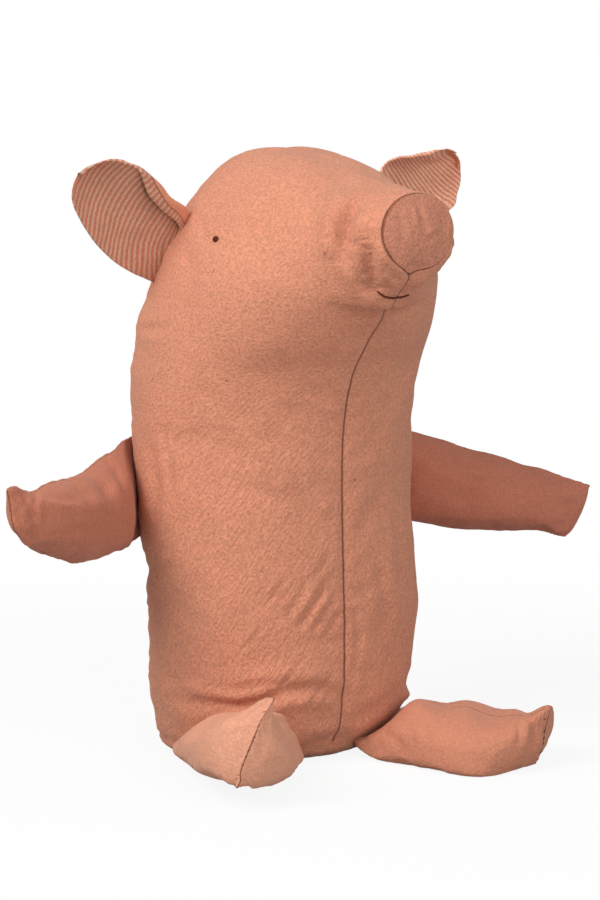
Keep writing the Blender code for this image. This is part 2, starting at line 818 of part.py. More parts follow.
def closing_stitches(name, tip, frame, origin, finish):
    """The thread that closes a foot, laid to and fro over the end of its seam."""
    half = tip[2] * STITCH_SPAN_share
    count = 2 * round(half / STITCH_STEP)
    points = []
    for i in range(count + 1):
        side = STITCH_LENGTH / 2 if i % 2 else -STITCH_LENGTH / 2
        height = half * (2 * i / count - 1)
        points.append(to_world(frame, side, height, tip[4], tip[3], LEG_LENGTH + THREAD / 2 + GAP))
    verts, faces = tube(points, [frame[1]] * len(points), THREAD / 2)
    add_object(name, verts, faces, finish, origin)


def on_skin(tree, point, direction, lift):
    """The place where a line from point meets the body, lifted off it, and the body's normal there."""
    hit, normal, _, _ = tree.ray_cast(point, direction)
    return hit + normal * lift, normal


def eye(side_name, sign, tree, finish):
    """A knotted eye on the cheek."""
    target = skin(EYE_ROW, sign * EYE_ANGLE)
    lean = skin_normal(EYE_ROW, sign * EYE_ANGLE)
    place, normal = on_skin(tree, target + lean * SNOUT_WIDTH, -lean, KNOT_TALL / 2 + GAP)
    bead(f"eye_{side_name}", place, normal, finish)


def mouth(tree, finish):
    """The embroidered mouth, a shallow curve under the snout."""
    centre = skin(MOUTH_ROW, 0)
    lean = skin_normal(MOUTH_ROW, 0)
    up = Vector((1, 0, 0)).cross(lean).normalized()
    if up.y > 0:
        up = -up
    points = []
    normals = []
    for i in range(MOUTH_STEPS + 1):
        share = 2 * i / MOUTH_STEPS - 1
        aim = centre + Vector((share * MOUTH_WIDTH / 2, 0, 0))
        aim += up * MOUTH_WIDTH * MOUTH_SAG_share * share * share
        place, normal = on_skin(tree, aim + lean * SNOUT_WIDTH, -lean, THREAD / 2 + GAP)
        points.append(place)
        normals.append(normal)
    verts, faces = tube(points, normals, THREAD / 2)
    add_object("mouth_stitch", verts, faces, finish)


def main():
    """Builds the pig."""
    for old in list(bpy.data.objects):
        bpy.data.objects.remove(old, do_unlink=True)
    cloth = material("washed_cloth", CLOTH_COLOUR, 0.9)
    disc = material("disc_cloth", DISC_COLOUR, 0.9)
    lining = material("striped_lining", LINING_COLOUR, 0.9)
    thread = material("dark_thread", THREAD_COLOUR, 0.7)
    stuffing = material("fibre_filling", FILLING_COLOUR, 0.95)
    side_panel("body_panel_right", -1, cloth)
    side_panel("body_panel_left", 1, cloth)
    back_panel(cloth)
    base_panel(cloth)
    snout_disc(disc)
    body_filling(stuffing)
    tree = BVHTree.FromPolygons(*whole_skin(0.0))
    arm("right", -1, ARM_SEAM_ROWS_RIGHT, ARM_FORWARD_RIGHT, ARM_DROOP_RIGHT, tree, cloth, stuffing)
    arm("left", 1, ARM_SEAM_ROWS_LEFT, ARM_FORWARD_LEFT, ARM_DROOP_LEFT, tree, cloth, stuffing)
    right = (LEG_ROOT_ANGLE_RIGHT, LEG_OUTWARD_RIGHT, LEG_TALL_RIGHT, FOOT_TALL_RIGHT,
             FOOT_LIFT_RIGHT, FOOT_ROLL_RIGHT)
    left = (LEG_ROOT_ANGLE_LEFT, LEG_OUTWARD_LEFT, LEG_TALL_LEFT, FOOT_TALL_LEFT,
            FOOT_LIFT_LEFT, FOOT_ROLL_LEFT)
    leg("right", -1, right, tree, cloth, stuffing, thread)
    leg("left", 1, left, tree, cloth, stuffing, thread)
    ear("right", -1, EAR_RISE_RIGHT, EAR_FORWARD_RIGHT, tree, cloth, lining)
    ear("left", 1, EAR_RISE_LEFT, EAR_FORWARD_LEFT, tree, cloth, lining)
    eye("right", -1, tree, thread)
    eye("left", 1, tree, thread)
    mouth(tree, thread)


main()
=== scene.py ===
# %% [markdown]
# # A sitting cloth pig
# This lesson dresses a plain solid model of a stuffed cloth pig. The solids give the places and the
# sizes. Each cloth part is made again here as a finely divided bag or sheet, is blown up like a real
# stuffed part, and gets its seams, folds, weave and colour. Everything is in metres, with +Z up and
# the pig facing -Y.

# %%
# Load the solid model as the frame
import json
import math

import bmesh
import bpy
import numpy as np
from mathutils import Matrix, Vector, noise
from mathutils.bvhtree import BVHTree


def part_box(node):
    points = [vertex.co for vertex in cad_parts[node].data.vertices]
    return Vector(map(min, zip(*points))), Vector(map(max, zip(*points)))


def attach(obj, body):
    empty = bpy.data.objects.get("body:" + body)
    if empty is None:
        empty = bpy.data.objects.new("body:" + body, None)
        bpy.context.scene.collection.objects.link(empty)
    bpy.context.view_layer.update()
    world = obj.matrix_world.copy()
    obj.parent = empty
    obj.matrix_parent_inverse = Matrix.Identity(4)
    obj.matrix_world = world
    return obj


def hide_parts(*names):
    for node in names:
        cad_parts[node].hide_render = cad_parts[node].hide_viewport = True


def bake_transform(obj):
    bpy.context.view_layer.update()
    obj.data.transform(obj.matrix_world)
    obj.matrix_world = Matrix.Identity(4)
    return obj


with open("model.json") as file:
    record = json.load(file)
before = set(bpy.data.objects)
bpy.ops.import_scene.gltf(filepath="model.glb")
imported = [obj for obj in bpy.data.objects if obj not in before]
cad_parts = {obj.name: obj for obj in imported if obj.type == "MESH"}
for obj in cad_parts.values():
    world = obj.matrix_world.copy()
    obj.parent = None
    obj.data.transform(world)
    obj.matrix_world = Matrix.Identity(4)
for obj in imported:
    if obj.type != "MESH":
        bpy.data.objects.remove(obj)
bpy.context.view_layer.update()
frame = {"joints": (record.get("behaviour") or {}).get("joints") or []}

# %% [markdown]
# ## The camera
# The photograph was taken from a little to one side of the snout and slightly from above. The camera
# comes first, because many folds are placed by where they are in the picture. Its long lens hardly
# changes the sizes of near and far parts.

# %%
# The camera at the photograph's viewing angle
PICTURE = (600, 900)
PIXELS_PER_METRE = 2000.0
VIEW_TURN = math.radians(-35)
VIEW_RISE = math.radians(7.99)
VIEW_DISTANCE = 1.5
SENSOR = 36.0
LOOK_AT_HEIGHT = 0.1495
LOOK_ASIDE = 0.0115

view_right = Vector((math.cos(VIEW_TURN), math.sin(VIEW_TURN), 0))
view_back = Vector((math.sin(VIEW_TURN) * math.cos(VIEW_RISE),
                    -math.cos(VIEW_TURN) * math.cos(VIEW_RISE), math.sin(VIEW_RISE)))
view_up = view_back.cross(view_right)
look_at = Vector((0, 0, LOOK_AT_HEIGHT)) + view_right * LOOK_ASIDE
camera = bpy.data.objects.new("camera", bpy.data.cameras.new("camera"))
camera.data.sensor_width = SENSOR
camera.data.lens = SENSOR * VIEW_DISTANCE * PIXELS_PER_METRE / PICTURE[1]
stand = Matrix((view_right, view_up, view_back)).transposed().to_4x4()
stand.translation = look_at + view_back * VIEW_DISTANCE
camera.matrix_world = stand
bpy.context.scene.collection.objects.link(camera)
bpy.context.scene.camera = camera
print("camera", tuple(round(v, 3) for v in stand.translation), "lens", round(camera.data.lens, 1))

# %%
# Where a place of the model lies in the picture
CROWN_PLACE = (0.0, 0.016, 0.2986)


def in_picture(points):
    """Picture places, in pixels from the upper left corner, of places of the model."""
    aside = points - np.array(look_at)
    scale = PIXELS_PER_METRE * VIEW_DISTANCE / (VIEW_DISTANCE - aside @ np.array(view_back))
    across = PICTURE[0] / 2 + aside @ np.array(view_right) * scale
    down = PICTURE[1] / 2 - aside @ np.array(view_up) * scale
    return np.stack([across, down], -1)


print("crown lies at pixel", in_picture(np.array([CROWN_PLACE])).round(1).tolist())

# %% [markdown]
# ## Working with whole meshes at once
# Cloth needs tens of thousands of points. These helpers read and write all of them in one go. A cloth
# part starts as a flat grid that is bent to its form, and each point remembers in a map where it was
# on the flat grid, also after the mesh is divided further.

# %%
# Reading and moving the points of a mesh
NOISE_STEP = 7.31


def read(items, key, width=3):
    """One property of all points or corners of a mesh, one row each."""
    found = np.empty(len(items) * width)
    items.foreach_get(key, found)
    return found.reshape(-1, width)


def places(cloth):
    """All points of a mesh."""
    return read(cloth.data.vertices, "co")


def leans(cloth):
    """The normal at each point. It points out of a part, but into arm_left_cloth and leg_right_cloth."""
    return read(cloth.data.vertices, "normal")


def put(cloth, points):
    """Moves all points of a mesh."""
    cloth.data.vertices.foreach_set("co", points.ravel())
    cloth.data.update()


def swell(cloth, amount):
    """Moves each point of a mesh along its normal."""
    put(cloth, places(cloth) + leans(cloth) * amount[:, None])


def spots(cloth):
    """Where each point was on the flat grid: round it and along it, from 0 to 1."""
    mesh = cloth.data
    owner = np.empty(len(mesh.loops), dtype=np.int64)
    mesh.loops.foreach_get("vertex_index", owner)
    found = np.zeros((len(mesh.vertices), 2))
    found[owner] = read(mesh.uv_layers["grid"].data, "uv", 2)
    return found.T


def smooth(value, low, high):
    """0 below low, 1 above high, and an even slope between them."""
    share = np.clip((np.asarray(value, dtype=float) - low) / (high - low), 0, 1)
    return share * share * (3 - 2 * share)


def ripple(points, size, seed):
    """Smooth noise from -1 to 1 with lumps about as wide as size."""
    return np.array([noise.noise(p) for p in (points / size + seed * NOISE_STEP).tolist()])


print("helpers ready")

# %%
# A bag or sheet of cloth, bent from a flat grid
WELD = 0.00002


def cloth_from_grid(name, columns, rows, form, closed=True):
    """A grid of cloth bent to a form: form(round, along) gives the place of each point."""
    sheet = bmesh.new()
    flat_map = sheet.loops.layers.uv.new("grid")
    bmesh.ops.create_grid(sheet, x_segments=columns, y_segments=rows, size=0.5)
    flat = np.array([vert.co[:2] for vert in sheet.verts]) + 0.5
    for face in sheet.faces:
        for loop in face.loops:
            loop[flat_map].uv = flat[loop.vert.index]
    for vert, point in zip(sheet.verts, form(flat[:, 0], flat[:, 1])):
        vert.co = point
    if closed:
        bmesh.ops.remove_doubles(sheet, verts=sheet.verts, dist=WELD)
        bmesh.ops.recalc_face_normals(sheet, faces=sheet.faces)
    mesh = bpy.data.meshes.new(name)
    sheet.to_mesh(mesh)
    sheet.free()
    mesh.shade_smooth()
    cloth = bpy.data.objects.new(name, mesh)
    bpy.context.scene.collection.objects.link(cloth)
    return cloth


def settle(cloth):
    """Applies all modifiers of a cloth part, so that nothing on it stays live."""
    depsgraph = bpy.context.evaluated_depsgraph_get()
    made = bpy.data.meshes.new_from_object(cloth.evaluated_get(depsgraph))
    cloth.modifiers.clear()
    cloth.data = made
    made.name = cloth.name


def divide(cloth):
    """Divides a mesh once and rounds it."""
    finer = cloth.modifiers.new("finer", "SUBSURF")
    finer.levels = 1
    finer.uv_smooth = "NONE"
    settle(cloth)
    print(cloth.name, "has", len(cloth.data.vertices), "points")


# %% [markdown]
# ## Stuffing
# A real pig is sewn flat, turned and stuffed until its cloth is tight, and the seams hold it in. The
# cloth simulation does the same: air pressure pushes the cloth out while the seams stay where they
# are. Twenty frames are enough, and no point may move further than a cap.

# %%
# Blow up cloth parts between their seams
STUFFING_FRAMES = 20
STUFFING_PRESSURE = 4.0
CLOTH_STIFFNESS = 0.1


def stuff(cloths, cap, slack):
    """Blows cloth parts up, by cap at most. cloths maps each part to how firmly its points are held."""
    scene = bpy.context.scene
    scene.frame_set(1)
    for cloth, held in cloths.items():
        sewn = cloth.vertex_groups.new(name="sewn")
        for index, weight in enumerate(held.tolist()):
            if weight > 0:
                sewn.add([index], weight, "REPLACE")
        air = cloth.modifiers.new("stuffing", "CLOTH")
        air.settings.use_pressure = True
        air.settings.uniform_pressure_force = STUFFING_PRESSURE
        air.settings.effector_weights.gravity = 0
        air.settings.vertex_group_mass = "sewn"
        air.settings.shrink_min = -slack
        air.settings.bending_stiffness = CLOTH_STIFFNESS
        air.collision_settings.use_collision = False
        air.point_cache.frame_end = STUFFING_FRAMES
    for count in range(1, STUFFING_FRAMES + 1):
        scene.frame_set(count)
    depsgraph = bpy.context.evaluated_depsgraph_get()
    stuffed = {}
    for cloth in cloths:
        blown = cloth.evaluated_get(depsgraph)
        before = places(cloth)
        step = read(blown.to_mesh().vertices, "co") - before
        blown.to_mesh_clear()
        length = np.linalg.norm(step, axis=1, keepdims=True)
        capped = cap * np.tanh(length / cap) / np.maximum(length, WELD)
        stuffed[cloth] = before + step * capped
        print(cloth.name, "moved", (length.max() * 1000).round(2), "mm, kept", cap * 1000)
    for cloth, points in stuffed.items():
        cloth.modifiers.clear()
        cloth.vertex_groups.clear()
        put(cloth, points)
    scene.frame_set(1)


# %% [markdown]
# ## Folds
# Folds are drawn as strokes. A stroke is a line with a width and a depth: the cloth sinks along the
# line and swells a little on both sides. Folds that the photograph shows are drawn in its pixels, and
# they are pressed into the cloth whose normals face the camera there. The hidden side gets the same
# folds mirrored and weaker, because a real pig is creased all round.

# %%
# Distances to a drawn line
def to_line(points, line):
    """The signed distance of flat points to a drawn line, and the share of the line's length there."""
    line = np.asarray(line, dtype=float)
    lengths = np.linalg.norm(np.diff(line, axis=0), axis=1)
    total = lengths.sum()
    best = np.full(len(points), np.inf)
    side = np.zeros(len(points))
    share = np.zeros(len(points))
    done = 0.0
    for start, end, length in zip(line, line[1:], lengths):
        way = (end - start) / length
        from_start = points - start
        along = np.clip(from_start @ way, 0, length)
        gap = from_start - along[:, None] * way
        distance = np.linalg.norm(gap, axis=1)
        nearer = distance < best
        best[nearer] = distance[nearer]
        side[nearer] = np.sign(way[0] * gap[nearer, 1] - way[1] * gap[nearer, 0])
        share[nearer] = (done + along[nearer]) / total
        done += length
    return best * side, share


RIDGE_GAP, RIDGE_WIDTH = 2.0, 1.3
FOLD_ENDS_share = 0.02
FOLD_TAPER = 0.6
FOLD_REACH = 5
HIDDEN_share = 0.7
HIDDEN_FADE = (-0.1, 0.15)
to_camera = np.array(view_back)


def crease(distance, share, width, depth, ridge):
    """How far the cloth moves out at a distance from a fold; the fold fades out at its ends."""
    taper = np.sin(np.pi * np.clip(share, FOLD_ENDS_share, 1 - FOLD_ENDS_share)) ** FOLD_TAPER
    valley = np.exp(-(distance / width) ** 2)
    beside = np.exp(-((np.abs(distance) - RIDGE_GAP * width) / (RIDGE_WIDTH * width)) ** 2)
    return depth * taper * (ridge * beside - valley)


def seen(lean, fade=(0.0, 0.3)):
    """How far normals point to the camera, from 0 to 1."""
    return smooth(lean @ to_camera, *fade)


def pull(cloth, pulls, floor=None):
    """Pulls the cloth; a pull is pixel across, down, radius, and pixels to the right, up and nearer."""
    points = places(cloth)
    pixels = in_picture(points)
    moved = np.zeros((len(points), 3))
    for across, down, radius, *way in pulls:
        weight = np.exp(-(((pixels - (across, down)) / radius) ** 2).sum(axis=1))
        moved += weight[:, None] * way
    moved[:, 2] *= leans(cloth) @ to_camera > 0
    moved /= PIXELS_PER_METRE
    points = points + moved @ np.array((view_right, view_up, view_back))
    if floor is not None:
        points[:, 2] = np.maximum(points[:, 2], floor)
    put(cloth, points)
    print(cloth.name, "pulled by up to", round(float(np.abs(moved).max()) * 1000, 2), "mm")


def press_folds(cloth, strokes):
    """Presses strokes of (width in pixels, depth in metres, ridge share, line) into a cloth part."""
    points = places(cloth)
    lean = leans(cloth)
    amount = np.zeros(len(points))
    for side, share, fade in ((1, 1.0, 1.0), (-1, HIDDEN_share, 1 - seen(lean, HIDDEN_FADE))):
        shown = seen(lean * (side, 1, 1)) * share * fade
        pixels = in_picture(points * (side, 1, 1))
        near = np.flatnonzero(shown > 0)
        for width, depth, ridge, line in strokes:
            low = np.min(line, axis=0) - FOLD_REACH * width
            high = np.max(line, axis=0) + FOLD_REACH * width
            inside = near[np.all((pixels[near] > low) & (pixels[near] < high), axis=1)]
            if len(inside) > 0:
                fold = crease(*to_line(pixels[inside], line), width, depth, ridge)
                amount[inside] += shown[inside] * fold
    swell(cloth, amount)
    print(cloth.name, "folded by up to", round(float(np.abs(amount).max()) * 1000, 2), "mm")


# %%
# Small crinkles of washed cotton, laid at random but the same each time
CRINKLE_DEPTH_MM = (0.1, 0.32)
CRINKLE_BEND = 6
CRINKLE_RIDGE_share = 0.8
CRINKLE_GAP, CRINKLE_RIDGE_WIDTH = 1.7, 1.2
CRINKLE_REACH = 1.5


def crinkle(cloth, flat, strength, count, slant, spread, seed,
            length=(0.008, 0.022), width=(0.0008, 0.0016)):
    """Presses short slanting strokes into the cloth. flat is each point's place on the flat cloth."""
    draw = np.random.default_rng(seed)
    amount = np.zeros(len(flat))
    order = np.argsort(flat[:, 1])
    sorted_height = flat[order, 1]
    low = flat.min(axis=0)
    high = flat.max(axis=0)
    for _ in range(count):
        middle = low + (high - low) * draw.random(2)
        half = draw.uniform(*length) / 2
        thick = draw.uniform(*width)
        depth = draw.uniform(*CRINKLE_DEPTH_MM) / 1000
        turn = math.radians(draw.normal(slant, spread)) * (1 if middle[0] < 0 else -1)
        bend = draw.normal(0, CRINKLE_BEND)
        reach = half * CRINKLE_REACH
        first, last = np.searchsorted(sorted_height, (middle[1] - reach, middle[1] + reach))
        near = order[first:last]
        near = near[np.abs(flat[near, 0] - middle[0]) < reach]
        aside = flat[near] - middle
        along = aside[:, 0] * math.cos(turn) + aside[:, 1] * math.sin(turn)
        off = aside[:, 1] * math.cos(turn) - aside[:, 0] * math.sin(turn) + bend * along ** 2
        fade = np.exp(-(along / half) ** 4)
        valley = np.exp(-(off / thick) ** 2)
        beside = np.exp(-((off - CRINKLE_GAP * thick) / (CRINKLE_RIDGE_WIDTH * thick)) ** 2)
        amount[near] += depth * fade * (CRINKLE_RIDGE_share * beside - valley)
    swell(cloth, amount * strength)


print("folds ready")

# %% [markdown]
# ## The form of the body
# Head, body and snout are one long bag: two side panels meet in a seam down the front, a back panel
# sits between two side seams, and a base panel closes it below. The table gives sections from the
# seat to the rim of the snout, as shares of the height, width and depth, and a smooth curve is drawn
# through them.

# %%
# Sections of the body and the surface through them
CROWN_HEIGHT = 0.298
TRUNK_WIDTH = 0.1456
TRUNK_DEPTH = 0.114
SNOUT_REACH = 0.116
SNOUT_HEIGHT = 0.2647
SNOUT_WIDTH = 0.042
SNOUT_TALL = 0.037
SNOUT_BULGE = 0.003
SIDE_SEAM_ANGLE = math.radians(120)
SEAM_ROW, BROW_ROW, CROWN_ROW, RIM_ROW = 2, 10, 11, 14
# front depth, front height, back depth, back height, half width
BODY_shares = (
    (0.308, 0.0, -0.317, 0.0, 0.343),
    (0.378, 0.0075, -0.384, 0.0075, 0.395),
    (0.427, 0.027, -0.411, 0.027, 0.420),
    (0.482, 0.074, -0.422, 0.074, 0.442),
    (0.512, 0.168, -0.418, 0.168, 0.468),
    (0.508, 0.295, -0.420, 0.295, 0.480),
    (0.496, 0.426, -0.462, 0.426, 0.500),
    (0.502, 0.547, -0.508, 0.560, 0.498),
    (0.559, 0.638, -0.499, 0.678, 0.493),
    (0.669, 0.700, -0.429, 0.785, 0.473),
    (0.782, 0.758, -0.291, 0.908, 0.419),
    (0.844, 0.765, -0.054, 0.999, 0.342),
    (0.918, 0.792, 0.261, 1.002, 0.266),
    (0.977, 0.806, 0.634, 0.969, 0.196),
)
unit = (TRUNK_DEPTH, CROWN_HEIGHT, TRUNK_DEPTH, CROWN_HEIGHT, TRUNK_WIDTH)
rim = (SNOUT_REACH, SNOUT_HEIGHT - SNOUT_TALL / 2, SNOUT_REACH, SNOUT_HEIGHT + SNOUT_TALL / 2,
       SNOUT_WIDTH / 2)
BODY = np.array([[share * size for share, size in zip(row, unit)] for row in BODY_shares] + [rim])


def curve(table, place):
    """A smooth curve through the rows of a table, read at places counted in rows."""
    last = len(table) - 1
    place = np.clip(place, 0, last)
    row = np.minimum(place.astype(int), last - 1)
    part = (place - row)[:, None]
    longer = np.vstack([2 * table[0] - table[1], table, 2 * table[-1] - table[-2]])
    a, b, c, d = (longer[row + step] for step in range(4))
    cubic = (3 * b - a - 3 * c + d) * part ** 3
    square = (2 * a - 5 * b + 4 * c - d) * part ** 2
    return 0.5 * (2 * b + (c - a) * part + square + cubic)


def rounded(value, roundness):
    """A signed power, which squares off a circle a little."""
    return np.sign(value) * np.abs(value) ** (2 / roundness)


def body_skin(row, angle):
    """The outside of the body. Angle 0 is the front seam, a positive angle the pig's left."""
    front, front_z, back, back_z, half = curve(BODY, row).T
    tube = np.clip((row - CROWN_ROW) / (RIM_ROW - CROWN_ROW), 0, 1)
    facing = np.cos(angle)
    roundness = np.where(facing >= 0, 2.1, 2.5)
    roundness = roundness + (2.0 - roundness) * tube
    along = np.abs(facing) ** (2 / roundness)
    depth = (front + back) / 2 + (np.where(facing >= 0, front, back) - (front + back) / 2) * along
    height = (front_z + back_z) / 2
    height = height + (np.where(facing >= 0, front_z, back_z) - height) * along
    return np.stack([half * rounded(np.sin(angle), roundness), -depth, height], -1)


print("body reaches", body_skin(np.array([14.0]), np.array([0.0])).round(4).tolist())

# %%
# The whole bag of the body, from the middle of its seat to the middle of its snout
BODY_COLUMNS = 132
BODY_ROWS = 128
SEAT_POLE, SNOUT_POLE = -1.0, 15.0
RIM_TURN_IN = 0.0022
RIM_TURN_share = 0.12
MEASURED_ROWS = 641
RING_POINTS = 24
snout_middle = np.array([0, -SNOUT_REACH, SNOUT_HEIGHT])


def side_seam_angle(row):
    """Where the side seams run; over the brow they close up to one seam on top of the head."""
    return np.interp(row, [BROW_ROW, CROWN_ROW], [SIDE_SEAM_ANGLE, math.pi])


def body_bag(row, angle):
    """The outside of the body, closed under the seat and behind the snout disc."""
    point = body_skin(np.clip(row, 0, RIM_ROW), angle)
    seat_middle = np.array([0, (BODY[0][2] + BODY[0][0]) / -2, 0])
    point = point + (seat_middle - point) * np.clip(-row, 0, 1)[:, None]
    inward = np.clip(row - RIM_ROW, 0, 1)
    point = point + (snout_middle - point) * inward[:, None]
    point[:, 1] += RIM_TURN_IN * smooth(inward, 0, RIM_TURN_share)
    return point


fine_rows = np.linspace(SEAT_POLE, SNOUT_POLE, MEASURED_ROWS)
ring = np.linspace(0, 2 * math.pi, RING_POINTS + 1)[:-1]
rings = np.array([body_bag(np.full(RING_POINTS, row), ring) for row in fine_rows])
step = np.linalg.norm(np.diff(rings, axis=0), axis=2).mean(axis=1)
reached = np.concatenate([[0], np.cumsum(step)])
BAG_LENGTH = reached[-1]
ring_length = np.linalg.norm(rings - np.roll(rings, 1, axis=1), axis=2).sum(axis=1)
seam_run, rim_run = np.interp((SEAM_ROW, RIM_ROW), fine_rows, reached)


def body_row(along):
    """The row of the table at a share of the way over the bag, in even steps."""
    return np.interp(along * BAG_LENGTH, reached, fine_rows)


body_cloth = cloth_from_grid(
    "body_cloth", BODY_COLUMNS, BODY_ROWS,
    lambda round_, along: body_bag(body_row(along), round_ * 2 * math.pi))
print("bag of", round(BAG_LENGTH * 1000), "mm over seat, belly, head and snout")

# %% [markdown]
# ## Sewing and stuffing the body
# The points on the front seam, the two side seams, the bottom seam and the rim of the snout are held
# while the cloth is blown up, and so is the seat, because the pig's weight presses it flat.

# %%
# Hold the seams of the body, stuff it and divide it
NO_SEAM = 1.0
SEAT_EDGE_ROW = 0.6


def body_marks(cloth):
    """For each point of the body: its row, its angle, and its distance to each kind of seam."""
    round_, along = spots(cloth)
    row = body_row(along)
    angle = (round_ * 2 * math.pi + math.pi) % (2 * math.pi) - math.pi
    girth = np.interp(row, fine_rows, ring_length) / (2 * math.pi)
    run = along * BAG_LENGTH
    front = np.where(row > SEAM_ROW, np.abs(angle) * girth, NO_SEAM)
    side = np.abs(np.abs(angle) - side_seam_angle(row)) * girth
    side = np.where((row > SEAM_ROW) & (row < RIM_ROW), side, NO_SEAM)
    return row, angle, girth, run, front, side, np.abs(run - seam_run), np.abs(run - rim_run)


row, angle, girth, run, front, side, bottom, edge = body_marks(body_cloth)
half_column = math.pi / BODY_COLUMNS * girth
half_row = BAG_LENGTH / BODY_ROWS / 2
held = (front < half_column) | (side < half_column) | (bottom < half_row) | (edge < half_row)
held |= (row < SEAT_EDGE_ROW) | (row > RIM_ROW)
stuff({body_cloth: held.astype(float)}, cap=0.0022, slack=0.010)
divide(body_cloth)

# %% [markdown]
# ## Seams and folds of the body
# Each seam is a narrow groove with small puckers beside it, where the stitches gather the cloth. Then
# come the folds that the photograph shows: crescents behind the snout, creases under the chin, a soft
# fold over the leg and slanting wrinkles on the belly.

# %%
# Press the seams into the body
# depth and width of the groove, and depth, pitch and reach of the gathers beside it
FRONT_SEAM = (0.0009, 0.0016, 0.00022, 0.0075, 0.006)
SIDE_SEAM = (0.0010, 0.0018, 0.00030, 0.0085, 0.007)
BOTTOM_SEAM = (0.0008, 0.0018, 0.00030, 0.009, 0.006)
RIM_SEAM = (0.0006, 0.0011, 0.00016, 0.005, 0.004)
BROW_SEAM_share = 0.85
SEAT_CLEAR = 0.004


def seam_groove(distance, along, depth, width, pucker, pitch, reach):
    """How far the cloth moves at a distance from a seam: a groove and a row of small gathers."""
    valley = np.exp(-(distance / width) ** 2)
    wave = np.sin(along / pitch * 2 * math.pi + 2.1 * np.sin(along / pitch * 1.7))
    return -depth * valley + pucker * wave * np.exp(-distance / reach) * (1 - valley)


row, angle, girth, run, front, side, bottom, edge = body_marks(body_cloth)
points = places(body_cloth)
brow_fade = 1 - BROW_SEAM_share * smooth(row, BROW_ROW, BROW_ROW + 0.8)
grooves = seam_groove(front, run, *FRONT_SEAM)
grooves += seam_groove(side, run, *SIDE_SEAM) * brow_fade
grooves += seam_groove(bottom, angle * girth, *BOTTOM_SEAM) * (points[:, 2] > SEAT_CLEAR)
grooves += seam_groove(edge, angle * girth, *RIM_SEAM) * (row < RIM_ROW)
swell(body_cloth, grooves)
print("seams pressed", grooves.min().round(5))

# %%
# Broad unevenness of the stuffing, and the folds of the photograph
SEAM_CALM = 0.012
points = places(body_cloth)
loose = smooth(row, 1.5, 3.0) * (1 - smooth(row, 12.5, 13.8))
loose = loose * (1 - np.exp(-(np.minimum(front, side) / SEAM_CALM) ** 2))
lumps = 0.0011 * ripple(points, 0.045, 1) + 0.0005 * ripple(points * (1, 1, 0.7), 0.016, 2)
swell(body_cloth, lumps * loose)

# width in pixels, depth in metres, share of the ridge beside it, pixels of the line
BODY_FOLDS = (
    (8.0, 0.0044, 0.7, ((359, 196), (351, 212), (345, 226), (344, 240), (348, 256))),
    (7.0, 0.0034, 0.8, ((365, 242), (368, 255), (370, 268), (377, 286))),
    (5.0, 0.0018, 0.8, ((350, 256), (355, 268), (360, 281), (369, 294))),
    (3.5, 0.0008, 0.7, ((386, 262), (391, 272), (397, 281))),
    (4.0, 0.0010, 0.7, ((437, 276), (433, 284), (427, 293), (421, 306))),
    (3.0, 0.0007, 0.7, ((443, 268), (440, 280), (434, 292))),
    (6.0, 0.0007, 0.7, ((416, 300), (405, 309), (393, 318), (383, 330))),
    (6.0, 0.0024, 0.8, ((176, 699), (205, 703), (238, 706), (258, 702), (288, 690), (318, 688), (345, 696))),
    (5.0, 0.0014, 0.8, ((210, 688), (240, 690), (270, 684), (300, 676))),
    (3.6, 0.0014, 0.9, ((298, 630), (308, 612), (318, 597), (327, 580))),
    (3.0, 0.0009, 0.9, ((312, 631), (322, 613), (335, 598))),
    (3.0, 0.0005, 0.9, ((286, 618), (300, 597), (307, 580))),
    (3.0, 0.0005, 0.9, ((312, 581), (325, 562), (330, 548))),
    (2.6, 0.0008, 0.9, ((322, 640), (331, 626), (340, 612))),
    (2.2, 0.0008, 0.9, ((262, 610), (275, 592), (288, 577))),
    (2.2, 0.0007, 0.9, ((238, 655), (256, 634), (270, 620))),
    (2.2, 0.0007, 0.9, ((270, 700), (290, 674), (306, 655))),
    (2.4, 0.0008, 0.9, ((300, 716), (316, 694), (332, 676))),
    (3.5, 0.0008, 0.8, ((352, 600), (358, 630), (356, 660), (350, 690))),
    (5.0, 0.0009, 0.7, ((372, 540), (381, 575), (384, 612), (379, 650))),
    (4.0, 0.0008, 0.7, ((398, 500), (401, 540), (398, 580))),
    (6.0, 0.0012, 0.6, ((150, 440), (152, 462), (157, 485), (156, 512), (150, 536))),
    (4.0, 0.0008, 0.6, ((163, 432), (168, 456), (172, 486), (170, 515))),
    (5.0, 0.0010, 0.6, ((140, 328), (152, 330), (168, 327))),
    (4.0, 0.0007, 0.7, ((143, 566), (158, 569), (176, 566))),
    (4.0, 0.0007, 0.7, ((402, 432), (398, 452), (400, 476), (404, 498))),
    (6.0, 0.0009, 0.6, ((176, 240), (185, 250), (190, 266), (186, 282))),
    (4.0, 0.0007, 0.6, ((196, 214), (203, 228), (205, 244))),
    (4.0, 0.0005, 0.7, ((283, 146), (300, 152), (326, 157), (350, 166))),
    (5.0, 0.0007, 0.7, ((370, 180), (364, 192), (366, 206))),
    (6.0, 0.0012, 0.7, ((300, 748), (316, 743), (333, 738), (352, 734))),
    (5.0, 0.0010, 0.7, ((395, 690), (380, 704), (362, 716), (347, 724))),
)
press_folds(body_cloth, BODY_FOLDS)
# pixel across, down, radius, pixels to the right, up and nearer
pull(body_cloth, (
    (412, 500, 36, -4, 0, 0), (412, 600, 30, 2.5, 0, 0), (150, 684, 22, -3, 0, 0), (137, 320, 20, -3, 0, 0),
    (134, 375, 22, -2, 0, 0), (146, 566, 12, 3, 0, 0), (386, 312, 17, 0, 0, 5),
    (402, 299, 10, -3, 0, 0), (376, 322, 12, 3, 0, 0), (413, 285, 9, -5, 0, 0), (406, 697, 7, 6, 0, 0)))

